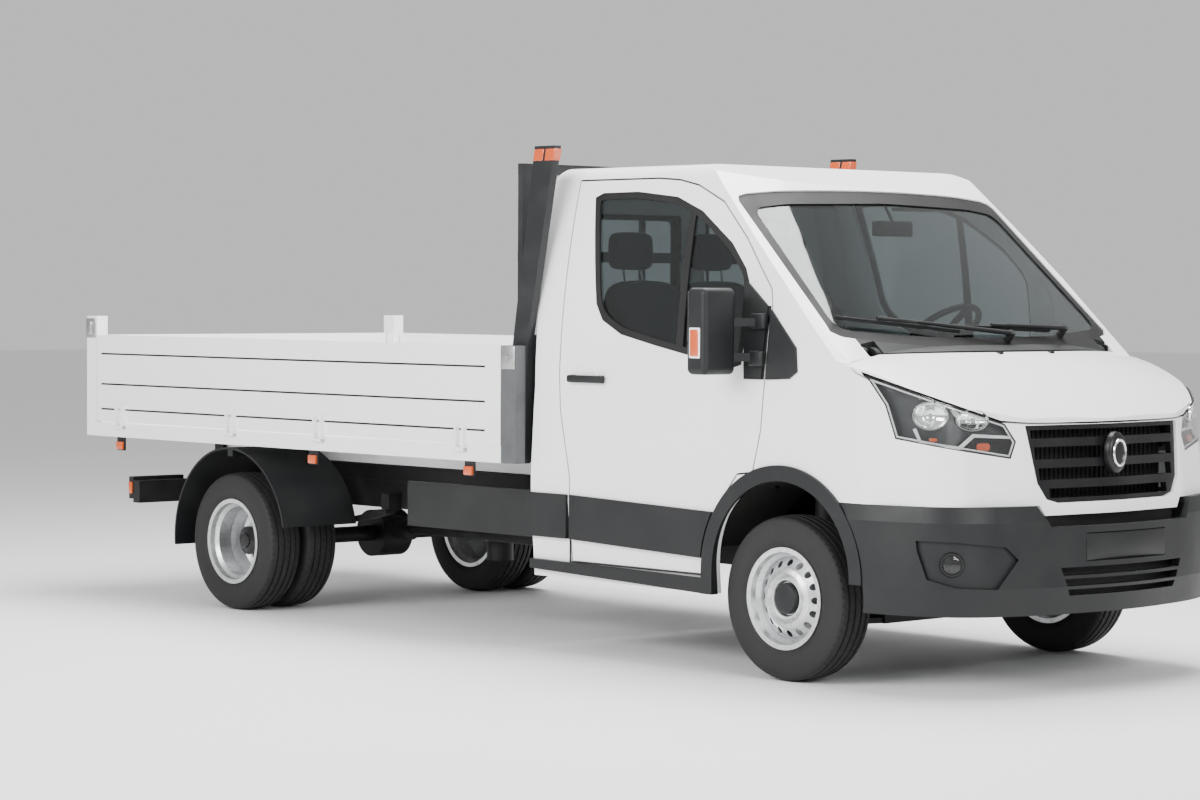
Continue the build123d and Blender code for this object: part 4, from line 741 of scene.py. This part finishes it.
lamp_edge = [
    (-0.348, 1.322), (0.226, 1.126), (0.273, 1.052), (0.250, 0.982), (-0.226, 1.062), (-0.268, 1.200),
]
lamp_divider = [
    (-0.142, 1.108), (-0.120, 1.052), (0.030, 1.036), (0.088, 1.086), (0.246, 1.076), (0.248, 1.064),
    (0.096, 1.072), (0.038, 1.022), (-0.130, 1.040), (-0.156, 1.104),
]
lamp_floor = [(-0.112, 1.044), (0.032, 1.024), (0.092, 1.074), (0.252, 1.064), (0.255, 1.046), (0.238, 0.994)]


def lamp_inside(side_name, side):
    out, _ = corner_axes(side)
    spot = lamp_spot(side_name, side)

    def under(depth):
        return lambda u, v, t: spot(u, v, t - depth)

    bm = bmesh.new()
    add_sheet(bm, (shrunk(lamp_edge, 0.007), shrunk(lamp_edge, 0.014)), under(0.012), 0.006)
    add_sheet(bm, (lamp_divider,), under(0.014), 0.006)
    make_piece(f"headlamp_strips_{side_name}", bm, lamp_silver, "chassis")
    bm = bmesh.new()
    add_sheet(bm, (lamp_floor,), under(0.024), 0.004)
    make_piece(f"headlamp_floor_{side_name}", bm, smooth_black, "chassis")
    bm = bmesh.new()
    for across, z, half_width, half_height in ((-0.085, 1.160, 0.070, 0.056), (0.088, 1.142, 0.064, 0.042)):
        part = bmesh.new()
        bowl(part, (0, 0, 0), half_width, 0.030, out)
        bmesh.ops.scale(part, vec=(1, 1, half_height / half_width), verts=part.verts)
        bmesh.ops.translate(part, vec=spot(across, z, -0.018), verts=part.verts)
        keep = bpy.data.meshes.new("bowl_part")
        part.to_mesh(keep)
        bm.from_mesh(keep)
        bpy.data.meshes.remove(keep)
    make_piece(f"headlamp_bowls_{side_name}", bm, chrome, "chassis", sharp=60)
    bm = bmesh.new()
    for across, z in ((-0.085, 1.160), (0.092, 1.140)):
        place = Matrix.Translation(spot(across, z, -0.030))
        bmesh.ops.create_uvsphere(bm, u_segments=20, v_segments=12, radius=0.013, matrix=place)
    make_piece(f"headlamp_bulbs_{side_name}", bm, lens_clear, "chassis")
    bm = bmesh.new()
    for across, z, half_width, half_height in ((0.134, 1.032, 0.028, 0.015), (-0.074, 1.062, 0.016, 0.007)):
        outline = [(across - half_width, z - half_height), (across + half_width, z - half_height),
                   (across + half_width, z + half_height), (across - half_width, z + half_height)]
        add_sheet(bm, (rounded(outline, half_height * 0.9),), under(0.018), 0.009)
    make_piece(f"headlamp_amber_{side_name}", bm, lens_amber, "chassis")


lamp_grey = plastic("lamp_bezel_grey", (0.060, 0.064, 0.067, 1), (0.085, 0.088, 0.092, 1), 0.22, 0.00003)
lamp_silver = plastic("lamp_strip_silver", (0.78, 0.79, 0.80, 1), (0.70, 0.71, 0.72, 1), 0.18, 0.00003)
for side_name, side in SIDES:
    headlamp(side_name, side)
    lamp_inside(side_name, side)
print("headlamps done")

# %% [markdown]
# Small lamps follow the law more than fashion: amber markers along the side, amber tops on the guard
# posts, and lamp clusters at the tail. Each is a bevelled block or an outline with thickness.


# %% Side markers, post tops and tail lamps
def small_lamps(side_name, side):
    bm = bmesh.new()
    backs = bmesh.new()
    for x in (-4.905, -3.188, -1.973):
        side_block(bm, side, around(from_axle(x), 0.030), (1.058, 1.074), (0.796, 0.838), 0.004)
        side_block(backs, side, around(from_axle(x), 0.036), (1.050, 1.060), (0.790, 0.880), 0.002)
    make_piece(f"marker_lens_{side_name}", bm, lens_amber, "bed")
    make_piece(f"marker_bracket_{side_name}", backs, sill_black, "bed")
    bm = bmesh.new()
    low, high = sorted((side * 0.963, side * 1.009))
    post_lean = 0.011
    for x_low, x_high in ((-1.588, -1.522), (-1.508, -1.446)):
        outline = [(x_low, 2.262), (x_high, 2.262), (x_high + post_lean, 2.316), (x_low + post_lean, 2.316)]
        add_plate(bm, [(from_axle(x), low, z) for x, z in outline], (0, high - low, 0))
    make_piece(f"post_lamp_{side_name}", bm, lens_amber, "bed", bevel=0.003)
    bm = bmesh.new()
    side_block(bm, side, (from_axle(-5.016), from_axle(-4.984)), (0.929, 0.938), (0.548, 0.612), 0.003)
    make_piece(f"tail_side_marker_{side_name}", bm, lens_amber, "chassis")
    bar_x = from_axle(-5.020)
    for label, out_y, material in (
        ("red", (0.606, 0.735), lens_red),
        ("amber", (0.740, 0.830), lens_amber),
        ("clear", (0.835, 0.925), lens_clear),
    ):
        bm = bmesh.new()
        side_block(bm, side, (bar_x - 0.012, bar_x + 0.002), out_y, (0.526, 0.634), 0.005)
        make_piece(f"tail_{label}_{side_name}", bm, material, "chassis")


for side_name, side in SIDES:
    small_lamps(side_name, side)
print("small lamps done")

# %% [markdown]
# The cab side leans in as it rises, so anything stuck to it needs the side's own curve. This gives the
# outer face of the cab at a height, from the same arc that shapes the panels.


# %% Door handles and window rubbers
def cab_side_y(z):
    centre_y, centre_z, radius = -3.4163, 1.100, 4.4013
    return 0.985 if z < centre_z else centre_y + (radius**2 - (z - centre_z) ** 2) ** 0.5


def door_handle(side_name, side):
    bm = bmesh.new()
    y = cab_side_y(1.265)
    grip_x = (from_axle(-1.345), from_axle(-1.105))
    side_block(bm, side, grip_x, (y + 0.010, y + 0.032), (1.248, 1.282), 0.009, 3)
    for x in (-1.325, -1.135):
        side_block(bm, side, around(from_axle(x), 0.018), (y - 0.004, y + 0.014), (1.247, 1.283), 0.005)
    make_piece(f"door_handle_{side_name}", bm, black_plastic, f"door_{side_name[0]}")
    bm = bmesh.new()
    dish = [(0.0015, 0.0), (0.0015, 0.040), (0.003, 0.046), (0.001, 0.052), (-0.003, 0.052)]
    add_turned(bm, dish, (from_axle(-1.215), side * y, 1.268), (0, side, 0), steps=48, closed=False)
    make_piece(f"handle_dish_{side_name}", bm, cab_white, f"door_{side_name[0]}")


window_edge = [
    (-1.306, 2.092), (-1.256, 2.112), (-1.022, 2.114), (-0.757, 2.086), (-0.583, 2.021), (-0.366, 1.878),
    (-0.262, 1.768), (-0.235, 1.712), (-0.230, 1.500), (-0.246, 1.350), (-0.330, 1.328), (-0.567, 1.383),
    (-0.794, 1.424), (-1.024, 1.470), (-1.155, 1.533), (-1.205, 1.606),
]


def window_rubber(side_name, side):
    def spot(u, v, thickness):
        return (from_axle(u), side * (cab_side_y(v) - 0.0125 + thickness), v)

    bm = bmesh.new()
    add_sheet(bm, (shrunk(window_edge, 0.0006), rounded(shrunk(window_edge, 0.030), 0.07)), spot, 0.011)
    bar = [(-0.660, 2.058), (-0.664, 1.412), (-0.620, 1.406), (-0.626, 2.050)]
    add_sheet(bm, (bar,), spot, 0.009)
    make_piece(f"window_rubber_{side_name}", bm, seal_rubber, f"door_{side_name[0]}")


for side_name, side in SIDES:
    door_handle(side_name, side)
    window_rubber(side_name, side)
print("doors dressed, side at 1.5 m", round(cab_side_y(1.5), 3))

# %% [markdown]
# The windscreen leans and bows, so its black border and the wipers are placed by a small function that
# turns a height and a distance from the middle into a place on the glass.


# %% Windscreen border, wipers and mirror inside
screen_top_x, screen_top_z, screen_slope = -0.395, 2.140, 1.1194
screen_bow, screen_half_width = 0.110, 0.940
screen_normal = Vector((0.666, 0, 0.746))


def screen_spot(y, z, lift=0.0):
    x = screen_top_x + (screen_top_z - z) * screen_slope - screen_bow * (y / screen_half_width) ** 2
    return Vector((from_axle(x), y, z)) + screen_normal * lift


screen_half = [
    (0, 2.125), (0.300, 2.122), (0.600, 2.113), (0.780, 2.098), (0.832, 2.085), (0.850, 2.060),
    (0.905, 1.530), (0.912, 1.500), (0.880, 1.480), (0.700, 1.455), (0.400, 1.432), (0, 1.422),
]
screen_edge = screen_half + [(-y, z) for y, z in reversed(screen_half[1:-1])]
inner_half = [
    (0, 2.072), (0.600, 2.058), (0.795, 2.036), (0.862, 1.530), (0.800, 1.505), (0.400, 1.480), (0, 1.474),
]
screen_inner = inner_half + [(-y, z) for y, z in reversed(inner_half[1:-1])]
bm = bmesh.new()
border_loops = (shrunk(screen_edge, 0.0008), rounded(screen_inner, 0.05))
add_sheet(bm, border_loops, lambda u, v, t: screen_spot(u, v, t - 0.0118), 0.006)
make_piece("windscreen_border", bm, seal_rubber, "chassis")


def wiper(name, tip, middle, end, pivot):
    """A wiper parked on the glass: blade from tip to end, arm from its middle to the pivot."""
    bm = bmesh.new()
    tip, middle, end = (screen_spot(y, z, 0.016) for y, z in (tip, middle, end))
    foot = screen_spot(*pivot, 0.012)
    add_rod(bm, tip, end, 0.0055, steps=10)
    lift = screen_normal
    add_rod(bm, tip + lift * 0.009, end + lift * 0.009, 0.0045, steps=10)
    reach = (end - tip) * 0.16
    add_rod(bm, middle - reach + lift * 0.015, middle + reach + lift * 0.015, 0.009, 0.006, steps=12)
    add_rod(bm, middle + lift * 0.018, foot + lift * 0.026, 0.007, 0.011, steps=14)
    add_rod(bm, foot - lift * 0.02, foot + lift * 0.034, 0.019, 0.016, steps=24)
    make_piece(name, bm, sill_black, "chassis", bevel=0.001)


wiper("wiper_right", (-0.860, 1.545), (-0.560, 1.524), (-0.235, 1.484), (0.060, 1.462))
wiper("wiper_left", (-0.200, 1.506), (0.073, 1.500), (0.380, 1.484), (0.480, 1.482))

bm = bmesh.new()
for y in (-0.170, 0.170):
    add_block(bm, (from_axle(0.505), y - 0.014, 1.396), (from_axle(0.530), y + 0.014, 1.412), 0.003)
make_piece("washer_jets", bm, smooth_black, "bonnet_lid")

bm = bmesh.new()
add_block(bm, (from_axle(-0.285), -0.125, 1.915), (from_axle(-0.255), 0.125, 1.985), 0.010, 3)
add_rod(bm, (from_axle(-0.270), 0, 1.980), screen_spot(0, 2.062, -0.012), 0.008)
make_piece("inside_mirror", bm, smooth_black, "chassis")
bm = bmesh.new()
for y in (-0.46, 0.46):
    add_block(bm, (from_axle(-0.520), y - 0.20, 2.040), (from_axle(-0.375), y + 0.20, 2.056), 0.006, 3)
    for post_y in (y - 0.14, y + 0.14):
        add_rod(bm, (from_axle(-0.505), post_y, 2.048), (from_axle(-0.515), post_y, 2.090), 0.006, steps=10)
make_piece("sun_visors", bm, visor_grey, "chassis")
print("windscreen dressed")

# %% [markdown]
# The cushions are subdivision surfaces: a coarse block whose corners are pulled in and whose middle is
# pushed out, then smoothed. Seams are left as shallow grooves between the parts.


# %% Seats with headrests on posts
def pad(bm, low, high, puff, lean=None):
    """One upholstered block: eight by eight by four cells, rounded at its edges and crowned."""
    low, high = Vector(low), Vector(high)
    middle, half = (low + high) / 2, (high - low) / 2
    count = len(bm.verts)
    made = bmesh.ops.create_cube(bm, size=2.0)["verts"]
    edges = list({edge for vert in made for edge in vert.link_edges})
    bmesh.ops.subdivide_edges(bm, edges=edges, cuts=7, use_grid_fill=True)
    bm.verts.ensure_lookup_table()
    for vert in bm.verts[count:]:
        x, y, z = vert.co
        shell = (abs(x) ** 6 + abs(y) ** 6 + abs(z) ** 6) ** (1 / 6)
        x, y, z = x / shell, y / shell, z / shell
        crown = (1 - x * x) * (1 - y * y) + (1 - y * y) * (1 - z * z) + (1 - x * x) * (1 - z * z)
        grow = 1 - puff + puff * min(crown, 1.0)
        vert.co = middle + Vector((x * half.x * grow, y * half.y * grow, z * half.z * grow))
        if lean:
            foot_z, slope = lean
            vert.co.x -= (vert.co.z - foot_z) * slope


def seat(node, places, y_low, y_high, bolster):
    back_lean = (1.12, 0.09)
    bm = bmesh.new()
    width = (y_high - y_low) / len(places)
    for index in range(len(places)):
        start, end = y_low + index * width, y_low + (index + 1) * width
        pad(bm, (from_axle(-1.235), start + 0.004, 1.000), (from_axle(-0.705), end - 0.004, 1.135), 0.05)
        back_low = (from_axle(-1.335), start + 0.004, 1.110)
        pad(bm, back_low, (from_axle(-1.200), end - 0.004, 1.715), 0.05, back_lean)
        if bolster:
            for edge in (start, end - 0.085):
                side_low = (from_axle(-1.285), edge, 1.160)
                pad(bm, side_low, (from_axle(-1.160), edge + 0.085, 1.600), 0.06, back_lean)
                pad(bm, (from_axle(-1.150), edge, 1.080), (from_axle(-0.725), edge + 0.085, 1.160), 0.06)
    for y in places:
        pad(bm, (from_axle(-1.396), y - 0.124, 1.762), (from_axle(-1.320), y + 0.124, 1.938), 0.05)
    piece = make_piece(f"{node}_cushions", bm, seat_cloth, "chassis", (node,), sharp=60)
    smooth = piece.modifiers.new("stuffed_form", "SUBSURF")
    smooth.levels = 1
    smooth.render_levels = 1
    bm = bmesh.new()
    for y in places:
        for post_y in (y - 0.055, y + 0.055):
            post_foot = (from_axle(-1.330), post_y, 1.680)
            add_rod(bm, post_foot, (from_axle(-1.352), post_y, 1.790), 0.006, steps=12)
    make_piece(f"{node}_posts", bm, zinc, "chassis")
    bm = bmesh.new()
    add_block(bm, (from_axle(-1.170), y_low + 0.05, 0.640), (from_axle(-0.770), y_high - 0.05, 0.990), 0.02)
    for y in (y_low + 0.09, y_high - 0.12):
        add_block(bm, (from_axle(-1.200), y, 0.631), (from_axle(-0.740), y + 0.03, 0.655), 0.004)
    hinge_low = (from_axle(-1.250), y_low + 0.012, 0.985)
    add_block(bm, hinge_low, (from_axle(-1.130), y_high - 0.012, 1.090), 0.015)
    make_piece(f"{node}_base", bm, black_plastic, "chassis")


seat("seat_driver", (0.42,), 0.172, 0.688, True)
seat("seat_bench", (-0.60, -0.08), -0.793, 0.148, False)
print("seats dressed")

# %% [markdown]
# The rear wall has two fixed panes. Each sits in a rubber that stands a little proud of the wall.


# %% Rear panes
for side_name, side in SIDES:
    wall_x = from_axle(-1.617)
    low, high = sorted((side * 0.089, side * 0.641))
    bm = bmesh.new()
    add_block(bm, (wall_x + 0.024, low, 1.479), (wall_x + 0.029, high, 2.021))
    make_piece(f"rear_pane_{side_name}", bm, cab_glass, "chassis")
    outline = [(low - 0.006, 1.474), (high + 0.006, 1.474), (high + 0.006, 2.026), (low - 0.006, 2.026)]
    for label, x_low, x_high, border in (("outer", 0.007, 0.023, 0.020), ("inner", 0.030, 0.056, 0.016)):
        bm = bmesh.new()
        loops = (rounded(outline, 0.02), rounded(shrunk(outline, 0.006 + border), 0.03))
        add_sheet(bm, loops, lambda u, v, t, x=wall_x + x_low: (x + t, u, v), x_high - x_low)
        make_piece(f"rear_rubber_{label}_{side_name}", bm, seal_rubber, "chassis")
print("rear panes set")

# %% [markdown]
# The nose carries a plain boss on the grille, a blank plate, and a fog lamp in each bumper recess.


# %% Grille boss, plates and fog lamps
def oval_boss(name, profile, closed, material):
    bm = bmesh.new()
    add_turned(bm, profile, (0, 0, 0), (1, 0, 0), closed=closed)
    bmesh.ops.scale(bm, vec=(1, 0.86, 1.22), verts=bm.verts)
    bmesh.ops.translate(bm, vec=(from_axle(1.036), 0, 0.995), verts=bm.verts)
    make_piece(name, bm, material, "chassis")


boss = [(-0.030, 0.0), (-0.030, 0.074), (-0.010, 0.072), (0.000, 0.064), (0.004, 0.052), (0.004, 0.0)]
ring = [(0.002, 0.050), (0.008, 0.048), (0.010, 0.044), (0.008, 0.040), (0.002, 0.038)]
oval_boss("grille_boss", boss, False, smooth_black)
oval_boss("grille_boss_ring", ring, True, chrome)

bm = bmesh.new()
add_block(bm, (from_axle(1.0745), -0.260, 0.556), (from_axle(1.0825), 0.260, 0.668), 0.004)
make_piece("blank_plate_front", bm, panel_grey, "chassis")
bm = bmesh.new()
add_block(bm, (from_axle(-5.030), -0.260, 0.520), (from_axle(-5.022), 0.260, 0.620), 0.003)
add_block(bm, (from_axle(-5.023), -0.200, 0.535), (from_axle(-4.978), 0.200, 0.605), 0.004)
make_piece("blank_plate_rear", bm, panel_grey, "chassis")


def fog_lamp(side_name, side):
    out, along = corner_axes(side)
    middle = Vector((FRONT_AXLE_X, 0, 0)) + out * 1.196 + along * 0.005 + Vector((0, 0, 0.552))
    bm = bmesh.new()
    rim = [(-0.02, 0.052), (0.004, 0.052), (0.010, 0.048), (0.010, 0.042), (0.000, 0.040), (-0.02, 0.040)]
    add_turned(bm, rim, middle, out, steps=48)
    make_piece(f"fog_rim_{side_name}", bm, black_plastic, "chassis")
    bm = bmesh.new()
    lens = [(-0.012, 0.0405), (0.000, 0.0405), (0.004, 0.032), (0.006, 0.018), (0.007, 0.0)]
    add_turned(bm, lens, middle, out, steps=48, closed=False)
    make_piece(f"fog_lens_{side_name}", bm, lens_clear, "chassis")
    bm = bmesh.new()
    bowl(bm, middle + out * -0.002, 0.036, 0.022, out)
    make_piece(f"fog_bowl_{side_name}", bm, smooth_black, "chassis")


for side_name, side in SIDES:
    fog_lamp(side_name, side)
print("nose dressed")

# %% [markdown]
# Each mirror head gets its looking glass on the rear face, and an amber repeater in a white rim low on
# its outer front edge.


# %% Mirror glass and repeaters
def mirror_parts(side_name, side):
    body = f"door_{side_name[0]}"
    glass_x = (from_axle(-0.3290), from_axle(-0.3235))
    for label, up_z in (("upper", (1.452, 1.666)), ("lower", (1.326, 1.440))):
        bm = bmesh.new()
        side_block(bm, side, glass_x, (1.064, 1.220), up_z, 0.002)
        make_piece(f"mirror_glass_{label}_{side_name}", bm, mirror_face, body)
    shapes = (("rim", 0.0335, 0.066, 0.0035, cab_white), ("amber", 0.0265, 0.058, 0.0065, lens_amber))
    for label, half_x, half_z, proud, material in shapes:
        bm = bmesh.new()
        out_y = (1.226, 1.2370 + proud)
        side_block(bm, side, around(from_axle(-0.268), half_x), out_y, around(1.446, half_z), 0.006, 3)
        make_piece(f"mirror_{label}_{side_name}", bm, material, body)
    bm = bmesh.new()
    for z in (1.380, 1.540):
        out_y = (cab_side_y(z) + 0.008, cab_side_y(z) + 0.040)
        side_block(bm, side, (from_axle(-0.172), from_axle(-0.088)), out_y, around(z, 0.034), 0.010, 3)
    make_piece(f"mirror_foot_{side_name}", bm, black_plastic, body)


for side_name, side in SIDES:
    mirror_parts(side_name, side)
print("mirrors dressed")

# %% [markdown]
# The boards are held by an over-centre latch at each end, and each hinge shows its pin heads.

# %% Latches and pins of the tipping body
def latch(bm, x, side):
    side_block(bm, side, around(x, 0.045), (1.063, 1.074), (1.395, 1.500), 0.003)
    side_block(bm, side, around(x, 0.020), (1.070, 1.086), (1.410, 1.485), 0.006)
    add_rod(bm, (x, side * 1.070, 1.448), (x, side * 1.090, 1.448), 0.013, steps=20)


for side_name, side in SIDES:
    bm = bmesh.new()
    latch(bm, from_axle(-5.180), side)
    make_piece(f"latch_rear_{side_name}", bm, zinc, "bed", bevel=0.001)
    bm = bmesh.new()
    side_block(bm, side, (from_axle(-1.735), from_axle(-1.640)), (1.063, 1.072), (1.300, 1.408), 0.003)
    bolt_x = from_axle(-1.690)
    add_rod(bm, (bolt_x, side * 1.066, 1.350), (bolt_x, side * 1.088, 1.350), 0.014, steps=20)
    make_piece(f"latch_front_{side_name}", bm, zinc, "bed", bevel=0.001)
    bm = bmesh.new()
    for x in (-4.890, -3.874, -3.127, -2.022):
        for way in (-1, 1):
            start = Vector((from_axle(x + way * 0.0335), side * 1.077, 0.915))
            add_rod(bm, start, start + Vector((way * 0.006, 0, 0)), 0.009, steps=16)
    make_piece(f"board_pins_{side_name}", bm, zinc, f"board_{side_name[0]}")
bm = bmesh.new()
for way in (-1, 1):
    add_rod(bm, (-1.105, 0.160 + way * 0.0395, 0.775), (-1.105, 0.160 + way * 0.053, 0.775), 0.021, steps=24)
make_piece("ram_pin_heads", bm, zinc, "bed")
print("latches and pins done")

# %% [markdown]
# The joints round the doors read as thin dark lines, and each door gap has a black rubber seal lying
# a little under the surface. The grooves between the planks get thin black strips instead: painted shade for
# the shadow inside each groove.


# %% Door seals, painted shade in the plank grooves, and a radiator and painted shade behind the air inlets
door_edge = [
    (-1.422, 2.168), (-1.422, 1.293), (-1.408, 1.109), (-1.345, 0.818), (-1.345, 0.430), (-0.476, 0.430),
    (-0.459, 0.576), (-0.411, 0.693), (-0.334, 0.794), (-0.262, 0.882), (-0.170, 0.892), (-0.122, 1.074),
    (-0.104, 1.284), (-0.084, 1.610), (-0.097, 1.676), (-0.278, 1.892), (-0.457, 2.055), (-0.636, 2.132),
    (-0.760, 2.158), (-0.900, 2.168),
]
shut_gap = 0.008


def door_seal(side_name, side):
    def spot(u, v, thickness):
        return (from_axle(u), side * (cab_side_y(v) - 0.013 + thickness), v)

    bm = bmesh.new()
    add_sheet(bm, (shrunk(door_edge, 0.0008 - shut_gap), shrunk(door_edge, -0.0032)), spot, 0.007)
    make_piece(f"door_seal_{side_name}", bm, seal_rubber, "chassis")


def sail_edge(side_name, side):
    """A thin black facing that carries the mirror foot's black up to the door's edge."""

    def spot(u, v, thickness):
        return (from_axle(u), side * (cab_side_y(v) + 0.0004 + thickness), v)

    bm = bmesh.new()
    add_sheet(bm, ([(-0.104, 1.606), (-0.0855, 1.606), (-0.1045, 1.290), (-0.117, 1.290)],), spot, 0.0018)
    make_piece(f"sail_edge_{side_name}", bm, black_plastic, f"door_{side_name[0]}")


for side_name, side in SIDES:
    door_seal(side_name, side)
    sail_edge(side_name, side)
    # The black strips in the plank grooves are painted shade, standing for the shadow inside each groove.
    bm = bmesh.new()
    for z in (1.309, 1.145, 1.010):
        side_block(bm, side, (from_axle(-5.090), from_axle(-1.862)), (1.0602, 1.0618), around(z, 0.0042))
    make_piece(f"painted_groove_shade_{side_name}", bm, seal_rubber, f"board_{side_name[0]}")

# A ribbed black radiator core stands behind the grille.
bm = bmesh.new()
add_block(bm, (from_axle(0.872), -0.470, 0.790), (from_axle(0.882), 0.470, 1.125))
rib_count, rib_pitch, first_rib_y = 31, 0.030, -0.450
for index in range(rib_count):
    y = first_rib_y + index * rib_pitch
    add_block(bm, (from_axle(0.881), y - 0.003, 0.795), (from_axle(0.890), y + 0.003, 1.120))
# Flat black plates behind the bumper's slots are painted shade for the dark space behind them.
add_block(bm, (from_axle(0.984), -0.430, 0.400), (from_axle(0.992), 0.430, 0.535))
add_block(bm, (from_axle(0.970), -0.440, 0.690), (from_axle(0.978), 0.440, 0.790))
make_piece("radiator_and_inlet_shade", bm, sill_black, "chassis")
print("seals and screens done")

# %% Finish
print("scene dressed")
